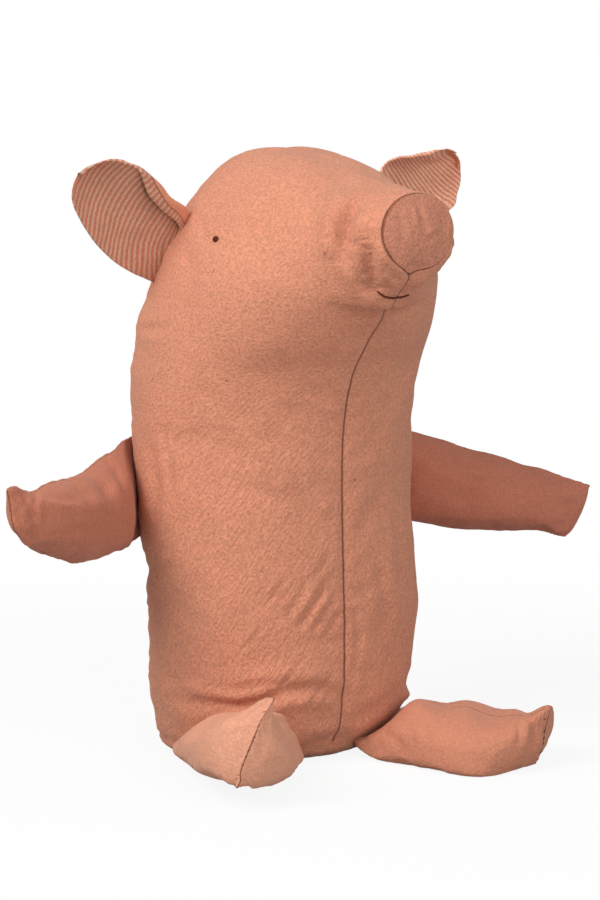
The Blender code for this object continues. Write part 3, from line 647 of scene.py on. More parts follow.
# %%
# The fine slanting crinkles of the body, strongest on the lower belly
flat_body = np.stack([angle * TRUNK_WIDTH / 2, run], -1)
belly = smooth(row, 1.0, 2.4) * (1 - 0.75 * smooth(row, 6.0, 8.5)) * (1 - smooth(row, 12.5, 13.6))
crinkle(body_cloth, flat_body, belly * 0.75, count=1300, slant=50, spread=16, seed=11,
        length=(0.004, 0.013), width=(0.0007, 0.0014))
crinkle(body_cloth, flat_body, belly * 0.8, count=700, slant=78, spread=24, seed=12)
print("body crinkled")

# %% [markdown]
# ## The snout disc
# The snout ends in a round piece of cloth, sewn in with a fine seam; its colour is painted darker
# than the body's, as painted shade. It is almost flat, with a low swell in the middle, a faint crease
# across it and a small pinch where the front seam meets it.
# It is a closed lens whose edge is turned in behind the rim of the snout.

# %%
# A lens of cloth inside the rim
DISC_COLUMNS = 96
DISC_ROWS = 40
DISC_EDGE_share = 0.82
DISC_TURN_share = 0.06
DISC_INSET = 0.0004
DISC_PILLOW = 0.0003
DISC_THICK = 0.0016
DENT_DEPTH = 0.0009
DENT_SPREAD = 0.03


def disc_form(round_, along):
    """Places on the snout disc: from the middle of its face, over its edge, to the middle of its back."""
    angle = round_ * 2 * math.pi
    rim_place = body_skin(np.full(len(angle), float(RIM_ROW)), angle)
    out = np.clip(along / DISC_EDGE_share, 0, 1)
    share = np.where(along < DISC_EDGE_share, out, 1 - smooth(along, DISC_EDGE_share, 1.0))
    share = share * (1 - DISC_INSET / np.linalg.norm(rim_place - snout_middle, axis=1))
    point = snout_middle + (rim_place - snout_middle) * share[:, None]
    dome = SNOUT_BULGE * (1 - out ** 2) ** 1.4 + DISC_PILLOW * np.sqrt(np.clip(1 - out ** 12, 0, 1))
    from_seam = (angle + math.pi) % (2 * math.pi) - math.pi
    dent = DENT_DEPTH * np.exp(-from_seam ** 2 / DENT_SPREAD) * smooth(out, 0.6, 1)
    back = DISC_THICK * smooth(along, DISC_EDGE_share, DISC_EDGE_share + DISC_TURN_share)
    point[:, 1] -= np.where(along < DISC_EDGE_share, dome - dent, -back)
    return point


snout_disc_cloth = cloth_from_grid("snout_disc_cloth", DISC_COLUMNS, DISC_ROWS, disc_form)
divide(snout_disc_cloth)
DISC_FOLDS = (
    (3.0, 0.0006, 0.7, ((417, 201), (421, 214), (424, 228), (425, 242))),
    (2.5, 0.0004, 0.7, ((426, 243), (433, 236), (441, 231))),
    (2.4, 0.0005, 0.7, ((411, 270), (416, 261), (421, 254))),
    (2.4, 0.0004, 0.7, ((410, 270), (404, 259), (399, 250))),
    (4.0, 0.0005, 0.6, ((398, 212), (402, 228), (403, 244))),
    (4.0, 0.0005, 0.6, ((441, 212), (444, 228), (441, 246))),
)
press_folds(snout_disc_cloth, DISC_FOLDS)
# where the front seam meets the rim, disc and body are pinched together
SEAM_PINCHES = ((418, 271, 10.0, -7.5, 0, 0), (410, 272, 4.5, 0, -3, 0))
for pinch in SEAM_PINCHES:
    pull(snout_disc_cloth, (pinch,))
    pull(body_cloth, (pinch,))

# %% [markdown]
# ## Arms and legs
# Each limb is two panels sewn along two seams and stuffed. An arm is sewn upright into the side seam
# and ends in a short upright seam. A leg is sewn flat into the bottom seam and ends in a tall upright
# one, so it turns from a flat root into a pointed foot. Their tables give sections from root to tip.

# %%
# Sections of the limbs
ARM_LENGTH = 0.129
ARM_THICK = 0.034
ARM_TALL = 0.046
LEG_LENGTH = 0.090
LEG_WIDTH = 0.068
LEG_CLEAR = 0.0004
LIMB_ROUNDNESS = 2.2
TIP_HALF_THICK = 0.0005
LOWEST_POINTS = 13
UP = np.array([0, 0, 1])
# place, half thickness, half height, height of the middle line
ARM_shares = (
    (0.0, 0.035, 0.49, 0.0),
    (0.03, 0.08, 0.50, 0.0),
    (0.08, 0.16, 0.50, -0.03),
    (0.18, 0.34, 0.49, -0.09),
    (0.32, 0.47, 0.47, -0.13),
    (0.50, 0.50, 0.44, -0.13),
    (0.68, 0.46, 0.385, -0.09),
    (0.84, 0.33, 0.325, -0.04),
    (0.95, 0.15, 0.29, -0.01),
    (1.0, 0.035, 0.27, 0.0),
)
# place, half width, half height at the root part, share of the foot's own height
LEG_shares = (
    (0.0, 0.40, 0.032, 0.0),
    (0.03, 0.43, 0.08, 0.0),
    (0.08, 0.46, 0.18, 0.0),
    (0.18, 0.48, 0.34, 0.0),
    (0.32, 0.47, 0.45, 0.0),
    (0.50, 0.45, 0.50, 0.0),
    (0.68, 0.41, 0.36, 0.14),
    (0.84, 0.33, 0.16, 0.34),
    (0.95, 0.19, 0.04, 0.46),
    (1.0, 0.02, 0.0, 0.50),
)


def one_long(way):
    """A direction of length one."""
    return way / np.linalg.norm(way)


def limb_frame(root, direction, up):
    """The place and the three directions of a limb."""
    across = one_long(np.cross(up, direction))
    return {"root": root, "direction": direction, "across": across, "up": np.cross(direction, across)}


def seam_place(rows, sign):
    """The middle and the direction of a stretch of a side seam."""
    low, high = body_skin(np.array(rows), np.full(2, sign * SIDE_SEAM_ANGLE))
    return (low + high) / 2, one_long(high - low)


def sideways(sign, forward, rise):
    """A direction to one side, turned forward and raised by so many degrees."""
    forward, rise = math.radians(forward), math.radians(rise)
    flat = np.array([sign * math.cos(forward), -math.sin(forward), 0])
    return flat * math.cos(rise) + UP * math.sin(rise)


def arm_plan(sign, rows, forward, rise, corners):
    """Where an arm is sewn on, and its sections."""
    root, up = seam_place(rows, sign)
    plan = limb_frame(root, sideways(sign, forward, rise), up)
    sections = [(place, thick * ARM_THICK, half * ARM_TALL, middle * ARM_TALL, 0)
                for place, thick, half, middle in ARM_shares]
    plan.update(upright=True, length=ARM_LENGTH, sections=np.array(sections), corners=corners,
                under=LIMB_ROUNDNESS, ridge=LIMB_ROUNDNESS)
    return plan


def section(half_side, half_height, turn, under, over):
    """Places round a section of a limb; turn 0 is the lower seam and 0.5 the upper one."""
    angle = -math.pi / 2 + turn * 2 * math.pi
    roundness = np.where(np.sin(angle) < 0, under, over)
    return half_side * rounded(np.cos(angle), roundness), half_height * rounded(np.sin(angle), roundness)


def rolled(side, height, roll):
    """A place in a section, turned by the limb's roll."""
    return (side * np.cos(roll) - height * np.sin(roll), side * np.sin(roll) + height * np.cos(roll))


def leg_plan(sign, root_angle, outward, tall, foot, lift, roll, under, width, corners, ridge):
    """Where a leg is sewn on, and its sections, each set down on the floor."""
    root = body_skin(np.array([float(SEAM_ROW)]), np.array([sign * math.radians(root_angle)]))[0]
    outward = math.radians(outward)
    plan = limb_frame(root, np.array([sign * math.sin(outward), -math.cos(outward), 0]), UP)
    sections = []
    for place, wide, half, foot_share in LEG_shares:
        half_wide = wide * (1 + (width - 1) * smooth(place, 0.15, 0.5)) * LEG_WIDTH
        height = half * tall + foot_share * foot
        turned = sign * math.radians(roll) * place ** 2
        edge = section(half_wide, height, np.linspace(0, 1, LOWEST_POINTS), under, LIMB_ROUNDNESS)
        middle = max(LEG_CLEAR + lift * place ** 2 - rolled(*edge, turned)[1].min() - root[2], 0)
        sections.append((place, half_wide, height, middle, turned))
    plan.update(upright=False, length=LEG_LENGTH, sections=np.array(sections), corners=corners,
                under=under, ridge=ridge)
    return plan


# corners says how far the upper and the lower corner of the end stand out
LIMBS = {
    "arm_right": arm_plan(-1, (5.55, 6.65), forward=32, rise=2, corners=(0.002, -0.006)),
    "arm_left": arm_plan(1, (5.8, 6.9), forward=27, rise=-15, corners=(0.001, -0.007)),
    "leg_right": leg_plan(-1, 47, 31, tall=0.036, foot=0.043, lift=0.012, roll=22, under=2.6,
                          width=0.84, corners=(0.001, -0.002), ridge=1.35),
    "leg_left": leg_plan(1, 41, 21, tall=0.027, foot=0.027, lift=0.001, roll=5, under=7.0,
                         width=1.10, corners=(0.001, -0.004), ridge=1.9),
}
for name, plan in LIMBS.items():
    print(name, "root", plan["root"].round(4), "points", plan["direction"].round(2))

# %% [markdown]
# ## Rooting the limbs in the body
# A limb has to come out of the body's cloth with no gap. Rays are cast from outside along the limb
# onto the finished body, and the root of the limb follows the places they hit, 3 mm inside the cloth.
# A leg's root ends there in a flat slit whose two layers aren't welded. The normals of the pig's left
# arm and right leg point inwards, so what follows normals is mirrored on these two: grooves stand
# proud, and folds and painted shades that are meant for the camera's side are on the other one.

# %%
# Build a limb as one bag
LIMB_COLUMNS = 64
LIMB_ROWS = 72
ROOT_SINK = 0.003
ROOT_FADE_share = 0.4
RAY_REACH = 0.05
END_ROWS = 0.5
END_RUN = 0.001
END_BULGE = 0.0004
SPINE_POINTS = 200


def tree_of(cloth):
    """A search tree of a cloth part, for casting rays at it."""
    return BVHTree.FromObject(cloth, bpy.context.evaluated_depsgraph_get())


def reach_of(tree, starts, direction):
    """How far along direction from each start the body's cloth lies."""
    found = np.zeros(len(starts))
    for index, start in enumerate(starts + direction * RAY_REACH):
        hit = tree.ray_cast(Vector(start), Vector(-direction), 2 * RAY_REACH)
        found[index] = RAY_REACH - hit[3] if hit[0] is not None else -RAY_REACH / 3
    return found


def rooted(plan, base, place, run_out, tree, sink):
    """Places at the end of their run, with the root drawn back into the body's cloth by sink."""
    fade = np.clip(1 - place / ROOT_FADE_share, 0, 1) ** 2
    near = fade > 0
    back = np.zeros(len(place))
    back[near] = reach_of(tree, base[near], plan["direction"]) - sink
    return base + plan["direction"] * (run_out + fade * back)[:, None]


def limb_form(plan, tree):
    """The function that bends a flat grid to a limb. The plan keeps the run along the limb."""
    table = plan["sections"]
    last = len(table) - 1
    fine = np.linspace(0, last, SPINE_POINTS)
    spine = curve(table, fine)
    steps_on = np.diff(spine[:, 0]) * plan["length"]
    steps_aside = np.abs(np.diff(spine[:, 1:3], axis=0)).max(axis=1)
    covered = np.concatenate([[0], np.cumsum(np.hypot(steps_on, steps_aside))])
    knots = np.concatenate([[-END_ROWS], fine, [last + END_ROWS]])
    runs = np.concatenate([[0], covered + END_RUN, [covered[-1] + 2 * END_RUN]])
    plan.update(runs=runs, knots=knots)

    def form(turn, along):
        at = np.interp(along * runs[-1], runs, knots)
        place, half_side, half_height, middle, roll = curve(table, at).T
        thin = 1 - np.clip(np.abs(at - last / 2) - last / 2, 0, END_ROWS) / END_ROWS
        thin = np.sqrt(np.clip(1 - (1 - thin) ** 2, 0, 1))
        half_side = np.maximum(half_side, TIP_HALF_THICK)
        half_height = np.maximum(half_height, TIP_HALF_THICK)
        if plan["upright"]:
            half_side = half_side * thin
        else:
            half_side = np.where(at > last, half_side * thin, half_side)
            half_height = np.where(at < 0, half_height * thin, half_height)
        over = LIMB_ROUNDNESS + (plan["ridge"] - LIMB_ROUNDNESS) * smooth(place, 0.2, 0.65)
        under = LIMB_ROUNDNESS + (plan["under"] - LIMB_ROUNDNESS) * (1 - smooth(place, 0.8, 1.0))
        side, height = section(half_side, half_height, turn, under, over)
        turned, raised = rolled(side, height, roll)
        base = plan["root"] + plan["across"] * turned[:, None] + plan["up"] * (raised + middle)[:, None]
        level = np.clip(height / np.maximum(half_height, WELD), -1, 1)
        high_corner, low_corner = plan["corners"]
        slant = np.where(level > 0, high_corner * level ** 4, low_corner * level ** 2)
        run_out = plan["length"] * place + END_BULGE * np.clip(at - last, 0, END_ROWS) / END_ROWS
        run_out = run_out + slant * smooth(place, 0.75, 1.0)
        return rooted(plan, base, place, run_out, tree, ROOT_SINK)

    return form


def limb_marks(cloth, plan):
    """For each point of a limb: its share of the way, places round and along, and gaps to the seams."""
    turn, along = spots(cloth)
    run = along * plan["runs"][-1]
    at = np.interp(run, plan["runs"], plan["knots"])
    place, half_side, half_height, middle, roll = curve(plan["sections"], at).T
    girth = math.pi * (half_side + half_height)
    seam = np.minimum(np.minimum(turn, 1 - turn), np.abs(turn - 0.5)) * girth
    tip = plan["runs"][-1] - run
    return place, turn, girth, run, seam, tip


body_tree = tree_of(body_cloth)
limbs = {}
for name, plan in LIMBS.items():
    limbs[name] = cloth_from_grid(f"{name}_cloth", LIMB_COLUMNS, LIMB_ROWS, limb_form(plan, body_tree))
    print(name, "bag made,", len(limbs[name].data.vertices), "points")

# %%
# Stuff the limbs and divide them
HELD_END_share = 0.03
held_limbs = {}
for name, cloth in limbs.items():
    place, turn, girth, run, seam, tip = limb_marks(cloth, LIMBS[name])
    on_seam = seam < girth / LIMB_COLUMNS * 0.5
    held_limbs[cloth] = (on_seam | (place < HELD_END_share) | (place > 1 - HELD_END_share)).astype(float)
stuff(held_limbs, cap=0.0018, slack=0.015)
for cloth in limbs.values():
    divide(cloth)
    points = places(cloth)
    points[:, 2] = np.maximum(points[:, 2], LEG_CLEAR)
    put(cloth, points)

# %%
# Seams, end seams and folds of the limbs
LIMB_SEAM = (0.0007, 0.0013, 0.00020, 0.0065, 0.005)
GATHER_DEPTH = 0.00035
GATHER_PITCH = 0.0047
GATHER_REACH = 0.007
FLOOR_FADE = 0.004
LIMB_FOLDS = {
    "arm_right": (
        (5.0, 0.0013, 0.8, ((108, 462), (121, 480), (129, 500), (129, 522), (123, 540))),
        (5.0, 0.0010, 0.8, ((88, 474), (104, 488), (116, 504), (121, 524))),
        (4.0, 0.0006, 0.8, ((70, 482), (86, 494), (96, 512))),
        (3.0, 0.0007, 0.8, ((36, 492), (34, 505), (36, 518))),
        (3.0, 0.0006, 0.8, ((24, 494), (30, 512), (38, 530))),
        (4.0, 0.0005, 0.7, ((60, 536), (78, 530), (96, 532))),
    ),
    "arm_left": (
        (6.0, 0.0032, 0.5, ((415, 434), (419, 450), (419, 470), (414, 500))),
        (4.0, 0.0008, 0.8, ((428, 442), (434, 462), (432, 484))),
        (4.0, 0.0006, 0.8, ((418, 506), (432, 497), (450, 494))),
        (3.0, 0.0006, 0.8, ((566, 482), (562, 500), (556, 520))),
        (3.0, 0.0005, 0.8, ((575, 490), (574, 505), (568, 522))),
        (4.0, 0.0004, 0.7, ((490, 470), (500, 488), (498, 510))),
    ),
    "leg_right": (
        (2.6, 0.0008, 0.8, ((206, 762), (221, 769), (239, 775), (258, 777), (280, 775))),
        (2.2, 0.0005, 0.9, ((262, 741), (274, 743), (288, 746))),
        (2.2, 0.0005, 0.9, ((259, 752), (272, 755), (288, 757))),
        (2.2, 0.0004, 0.9, ((256, 762), (270, 765), (285, 766))),
        (2.2, 0.0004, 0.9, ((266, 730), (276, 733), (286, 737))),
        (3.0, 0.0005, 0.8, ((248, 712), (254, 725), (256, 738))),
        (3.0, 0.0005, 0.8, ((228, 730), (236, 745), (240, 760))),
        (4.0, 0.0006, 0.7, ((192, 742), (206, 750), (222, 756))),
    ),
    "leg_left": (
        (3.0, 0.0008, 0.8, ((528, 714), (534, 728), (532, 744), (526, 758))),
        (3.0, 0.0006, 0.8, ((516, 716), (520, 730), (518, 746))),
        (4.0, 0.0006, 0.8, ((410, 708), (424, 722), (428, 740))),
        (4.0, 0.0005, 0.8, ((384, 730), (398, 742), (406, 756))),
        (4.0, 0.0004, 0.7, ((452, 712), (462, 728), (462, 748))),
    ),
}
# pixel across, down, radius, pixels to the right, up and nearer
LIMB_PULLS = {
    "arm_right": ((122, 448, 22, 0, 10, 0), (96, 462, 18, 0, 5, 0), (34, 490, 9, 0, -4, 0),
                  (12, 488, 9, 0, 6, 0), (12, 545, 12, 3, 4, 0), (125, 552, 20, 2, 2, 0),
                  (70, 553, 32, 0, -4, 0)),
    "arm_left": ((445, 446, 30, 0, 5, 0), (500, 462, 26, 0, 5, 0), (545, 474, 22, 0, 4, 0),
                 (430, 524, 26, 0, 2, 0), (585, 500, 18, 7, -1, 0), (562, 526, 18, 5, -8, 0)),
    "leg_right": ((176, 768, 14, 2, 3, 0), (266, 702, 12, 5, 5, 0), (237, 788, 12, 5, 2, 0),
                  (306, 744, 14, -10, 0, 0), (215, 724, 16, 0, 3, 0), (281, 710, 8, 8, 4, 0),
                  (276, 712, 7, 5, 0, 0), (298, 727, 8, -5, 0, 0), (239, 789, 9, 2, 3, 0)),
    "leg_left": ((412, 708, 22, 0, 11, 0), (495, 704, 26, 0, -8, 0), (546, 712, 14, 8, 8, 0),
                 (548, 764, 14, -2, 3, 0), (470, 768, 40, 0, -5, 12), (448, 700, 14, 0, -3, 0),
                 (528, 706, 9, 0, -5, 0), (551, 728, 9, 3, 0, 0)),
}
for index, (name, cloth) in enumerate(limbs.items()):
    place, turn, girth, run, seam, tip = limb_marks(cloth, LIMBS[name])
    points = places(cloth)
    groove = seam_groove(seam, run, *LIMB_SEAM) * smooth(place, 0.02, 0.1)
    gather = GATHER_DEPTH * np.sin(turn * girth / GATHER_PITCH * 2 * math.pi)
    gather = gather * np.exp(-tip / GATHER_REACH) * smooth(tip, 0.001, 0.003)
    on_floor = smooth(points[:, 2], LEG_CLEAR, FLOOR_FADE)
    lumps = 0.0007 * ripple(points, 0.022, 5 + index) + 0.0003 * ripple(points, 0.009, 15 + index)
    lumps = lumps * smooth(place, 0.02, 0.15)
    swell(cloth, (groove + gather + lumps) * on_floor)
    pull(cloth, LIMB_PULLS[name], LEG_CLEAR if name.startswith("leg") else None)
    press_folds(cloth, LIMB_FOLDS[name])
    flat_limb = np.stack([(turn - 0.5) * girth, run], -1)
    crinkle(cloth, flat_limb, 0.55 * on_floor, count=260, slant=35, spread=30, seed=21 + index,
            length=(0.005, 0.014), width=(0.0006, 0.0012))

# %% [markdown]
# ## Ears
# An ear is two layers: plain cloth outside and striped lining inside. They are sewn round the edge,
# and the lining rolls a little over it. Near the root the upper edge is folded down over the lining,
# which a sheet can follow exactly: the cloth beyond the fold line is bent round a small radius.

# %%
# The layers of an ear
EAR_LENGTH = 0.067
EAR_WIDTH = 0.048
EAR_CUP = 0.006
EAR_ROWS_ON_SEAM = (9.2, 10.25)
EAR_COLUMNS = 72
EAR_ROWS = 60
EAR_HALF_THICK = 0.0010
EAR_CLOTH = 0.0005
EAR_SINK = 0.002
EDGE_ROLL = 0.0005
FOLD_RADIUS = 0.0014
# place, half width below and above the middle line
EAR_shares = np.array((
    (0.0, 0.82, 0.82),
    (0.04, 0.86, 0.83),
    (0.16, 0.96, 0.90),
    (0.33, 1.0, 0.90),
    (0.52, 0.94, 0.95),
    (0.70, 0.78, 0.94),
    (0.84, 0.60, 0.82),
    (0.93, 0.42, 0.64),
    (0.98, 0.20, 0.38),
    (1.0, -0.06, 0.12),
))
# place along the ear, and how far its lining rolls over the edge where the ear is folded
ROLL_PLACES, ROLLS = (0.1, 0.3, 0.5, 0.7), (0.0015, 0.0026, 0.0042, 0.0056)


def ear_plan(sign, rise, forward, flap, fold, ends, **shape):
    """Where an ear is sewn on: its root and directions, and its folded edge."""
    root, seam = seam_place(EAR_ROWS_ON_SEAM, sign)
    direction = one_long(sideways(sign, forward, rise))
    front = one_long(np.cross(seam, direction))
    front = front if front[1] < 0 else -front
    across = np.cross(direction, front)
    across = across if across[2] > 0 else -across
    return {"root": root, "direction": direction, "front": front, "across": across,
            "flap": flap, "fold": math.radians(fold), "ends": ends, **shape}


def ear_flat(plan, wide, place, lining):
    """Where each spot of an ear lies across it when the ear is spread flat, and the edges of the ear."""
    at = np.interp(place, EAR_shares[:, 0], np.arange(len(EAR_shares)))
    below, above = curve(EAR_shares, at)[:, 1:].T * EAR_WIDTH / 2
    below = below * plan["low"]
    bend = 1 - smooth(place, *plan["ends"])
    flap = plan["flap"] * bend
    thick = EAR_HALF_THICK * np.sqrt(np.clip(1 - np.clip((place - 0.86) / 0.14, 0, 0.90) ** 2, 0, 1))
    roll = EDGE_ROLL + np.interp(place, ROLL_PLACES, ROLLS) * bend * plan["rolls"]
    tail = 1 - smooth(place, 0.88, 0.97)
    low_end = -below + tail * (-math.pi * thick - EDGE_ROLL if lining else EDGE_ROLL)
    high_end = above + flap + tail * (math.pi * thick + roll if lining else -roll)
    return low_end + (high_end - low_end) * wide, below, above, flap, thick


def ear_form(plan, tree, lining):
    """The function that bends a flat grid to one layer of an ear."""
    def form(wide, place):
        reach, below, above, flap, thick = ear_flat(plan, wide, place, lining)
        edge_high, edge_low = above + flap, -below
        over = np.maximum(reach - edge_high, 0) + np.minimum(reach - edge_low, 0)
        turn = np.clip(np.abs(over) / np.maximum(thick, WELD), 0, math.pi)
        rest = np.maximum(np.abs(over) - math.pi * thick, 0) * np.sign(over)
        rounded_edge = np.where(over > 0, edge_high, edge_low) + np.sign(over) * thick * np.sin(turn) - rest
        a = np.where(over == 0, reach, rounded_edge)
        offset = thick * np.cos(turn) if lining else -thick
        fold_end = plan["ends"][1]
        angle = plan["fold"] * (1 - smooth(place, fold_end - 0.05, fold_end + 0.06))
        start = above - FOLD_RADIUS
        bent = np.clip((a - start) / FOLD_RADIUS, 0, np.maximum(angle, WELD))
        bent = np.where(a > start, bent, 0)
        past = np.maximum(a - start - bent * FOLD_RADIUS, 0) * (a > start)
        line = np.where(a > start, start + FOLD_RADIUS * np.sin(bent) + past * np.cos(bent), a)
        lift = np.where(a > start, FOLD_RADIUS * (1 - np.cos(bent)) + past * np.sin(bent), 0)
        line = line - np.sin(bent) * offset
        lift = lift + np.cos(bent) * offset
        share = np.clip(line / np.where(line > 0, above, below), -1, 1)
        lift = lift + EAR_CUP * share ** 2 * (1 - np.clip(1 - place / ROOT_FADE_share, 0, 1) ** 2)
        twist = math.radians(plan["twist"]) * smooth(place, 0.0, 0.5)
        line, lift = rolled(line, lift, -twist)
        base = plan["root"] + plan["across"] * line[:, None] + plan["front"] * lift[:, None]
        return rooted(plan, base, place, EAR_LENGTH * place, tree, EAR_SINK)

    return form


def ear_name(layer):
    """The name of the ear that a layer belongs to."""
    return layer.rsplit("_", 1)[0]


# rolls is how much of the roll shows, low the lower half's width; the stripes lean, bow and keep a pitch
EARS = {
    "ear_right": ear_plan(-1, 36, 2, 0.0085, 158, (0.46, 0.78), rolls=1.0, low=0.82, lean=27, bow=4.5,
                          bow_middle=-0.012, pitch=0.00255, twist=0),
    "ear_left": ear_plan(1, 42, 22, 0.0060, 150, (0.20, 0.50), rolls=0.5, low=1.0, lean=0, bow=0.0,
                         bow_middle=0.0, pitch=0.0020, twist=14),
}
ears = {}
for name, plan in EARS.items():
    for layer in ("lining", "outer"):
        cloth = cloth_from_grid(f"{name}_{layer}_cloth", EAR_COLUMNS, EAR_ROWS,
                                ear_form(plan, body_tree, layer == "lining"), closed=False)
        ears[f"{name}_{layer}"] = cloth
        print(cloth.name, len(cloth.data.vertices), "points")

# %%
# Faces outwards, soft waves, pulls and the thickness of the ear cloth
# pixel across, down, radius, pixels to the right, up and nearer
EAR_PULLS = {
    "ear_right": ((74, 172, 9, 2, -2, 0), (143, 160, 9, 0, 2, 0), (172, 196, 9, -2, 0, 0)),
    "ear_left": ((392, 174, 14, -3, 7, 0), (437, 146, 13, 2, -6, 0), (452, 186, 12, 3, 0, 0),
                 (446, 203, 10, 7, 0, 0), (412, 148, 16, 0, -7, 0), (456, 153, 8, 4, 0, 0),
                 (428, 144, 11, 0, -5.5, 0), (402, 156, 8, 0, 1.5, 0), (457, 151, 5, -2, -2, 0)),
}
for name, cloth in ears.items():
    plan = EARS[ear_name(name)]
    outwards = plan["front"] * (1 if name.endswith("lining") else -1)
    round_, along = spots(cloth)
    middle = (round_ > 0.3) & (round_ < 0.5) & (along > 0.4) & (along < 0.6)
    if (leans(cloth)[middle] @ outwards).mean() < 0:
        cloth.data.flip_normals()
    divide(cloth)
    wave = 0.0006 * ripple(places(cloth) * (1, 1, 0.6), 0.014, 3) * smooth(spots(cloth)[1], 0.05, 0.2)
    put(cloth, places(cloth) + wave[:, None] * plan["front"])
    pull(cloth, EAR_PULLS[ear_name(name)])
    wall = cloth.modifiers.new("wall", "SOLIDIFY")
    wall.thickness = EAR_CLOTH
    wall.offset = -1
    settle(cloth)
    print(cloth.name, "flat area", round(sum(p.area for p in cloth.data.polygons) / 2 * 10000, 1), "cm2")

# %% [markdown]
# ## Thread work
# The eyes are knots of dark thread, wound round twice and pulled tight. The mouth is one thread laid
# in a shallow curve, and small stitches close the feet. Each thread is laid on the cloth it is sewn
# to by casting rays at it, so that it touches from every side.

# %%
# A round thread laid along a path
THREAD = 0.0011


def thread(name, path, lift, radius, sides=10, pointed=0.35):
    """A thread of a radius along path; lift holds the direction away from the cloth at each point."""
    path, lift = np.asarray(path), np.asarray(lift)
    count = len(path)

    def form(turn, along):
        at = np.clip(np.rint(along * (count - 1)).astype(int), 0, count - 1)
        way = path[np.minimum(at + 1, count - 1)] - path[np.maximum(at - 1, 0)]
        way = way / np.linalg.norm(way, axis=1, keepdims=True)
        aside = np.cross(lift[at], way)
        aside = aside / np.linalg.norm(aside, axis=1, keepdims=True)
        out = np.cross(way, aside)
        ends = np.minimum(along, 1 - along) * (count - 1)
        size = radius * np.where(ends < 0.5, WELD, np.clip(pointed + ends / 4, 0, 1))
        angle = turn[:, None] * 2 * math.pi
        return path[at] + (aside * np.cos(angle) + out * np.sin(angle)) * size[:, None]

    return cloth_from_grid(name, sides, count - 1, form)

# %%
# The eyes
EYE_NAMES = ("eye_right", "eye_left")
EYE_WIDTH = 0.0034
EYE_THREAD = 0.0011
EYE_TURNS = 2.3
EYE_STEPS = 90
EYE_TALL_share = 0.92
EYE_DIMPLE = 0.0009
DIMPLE_REACH = 0.0035


def box_middle(name):
    """The middle of a solid of the model."""
    low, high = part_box(name)
    return (low + high) / 2


def eye(name, tree):
    """A knot of thread: a coil that starts wide, winds inwards and ends over the middle."""
    hit, normal, _, _ = tree.find_nearest(box_middle(name))
    turn = normal.to_track_quat("Z", "Y").to_matrix()
    path = []
    for index in range(EYE_STEPS + 1):
        share = index / EYE_STEPS
        angle = share * EYE_TURNS * 2 * math.pi
        radius = (EYE_WIDTH - EYE_THREAD) / 2 * (1 - share ** 1.6 * 0.95)
        height = EYE_THREAD * (0.30 + 0.75 * share ** 0.8)
        place = Vector((radius * math.cos(angle), radius * math.sin(angle) * EYE_TALL_share, height))
        path.append(np.array(hit + turn @ place))
    lift = [np.array(normal)] * len(path)
    return thread(name + "_knot", path, lift, EYE_THREAD / 2, sides=12, pointed=0.7)


body_points = places(body_cloth)
for name in EYE_NAMES:
    gap = np.linalg.norm(body_points - np.array(box_middle(name)), axis=1)
    body_points -= leans(body_cloth) * (EYE_DIMPLE * np.exp(-(gap / DIMPLE_REACH) ** 2))[:, None]
put(body_cloth, body_points)
body_tree = tree_of(body_cloth)
eyes = [eye(name, body_tree) for name in EYE_NAMES]
print("eyes", [len(knot.data.vertices) for knot in eyes])

# %%
# The mouth
MOUTH_PIXELS = ((377, 290.5), (379.5, 293), (382.5, 295), (386, 296.6), (390, 297.6), (394, 297.8),
                (398.5, 297.4), (402.5, 296.6), (406, 295.6), (409.5, 294.2))
MOUTH_POINTS = 60
MOUTH_LIFT_share = 0.22
MOUTH_RADIUS_share = 0.42


def ray_at(pixel):
    """The start and the direction of the camera's ray through a pixel of the photograph."""
    aside = (pixel[0] - PICTURE[0] / 2) / PIXELS_PER_METRE
    rise = (PICTURE[1] / 2 - pixel[1]) / PIXELS_PER_METRE
    target = look_at + view_right * aside + view_up * rise
    start = look_at + view_back * VIEW_DISTANCE
    return start, (target - start).normalized()


rough = []
for pixel in MOUTH_PIXELS:
    start, way = ray_at(pixel)
    rough.append(np.array(body_tree.ray_cast(start, way)[0]))
rough = np.array(rough)
print("mouth runs from", rough[0].round(4), "to", rough[-1].round(4))
chord = np.concatenate([[0], np.cumsum(np.linalg.norm(np.diff(rough, axis=0), axis=1))])
even = np.linspace(0, chord[-1], MOUTH_POINTS)
mouth_path, mouth_lift = [], []
for point in np.stack([np.interp(even, chord, rough[:, axis]) for axis in range(3)], -1):
    hit, normal, _, _ = body_tree.find_nearest(Vector(point))
    mouth_path.append(np.array(hit + normal * THREAD * MOUTH_LIFT_share))
    mouth_lift.append(np.array(normal))
mouth = thread("mouth_thread", mouth_path, mouth_lift, THREAD * MOUTH_RADIUS_share)
print("mouth of", round(chord[-1] * 1000, 1), "mm")

# %%
# The stitches that close the feet
STITCH_PITCH = 0.0036
STITCH_REACH = 0.0007
STITCH_LIFT = 0.00012
STITCH_RADIUS = 0.00020
STITCH_STEPS = 11
FEWEST_STEPS = 5
SEWN_share = 0.9
RAY_START, RAY_LENGTH = 0.02, 0.03


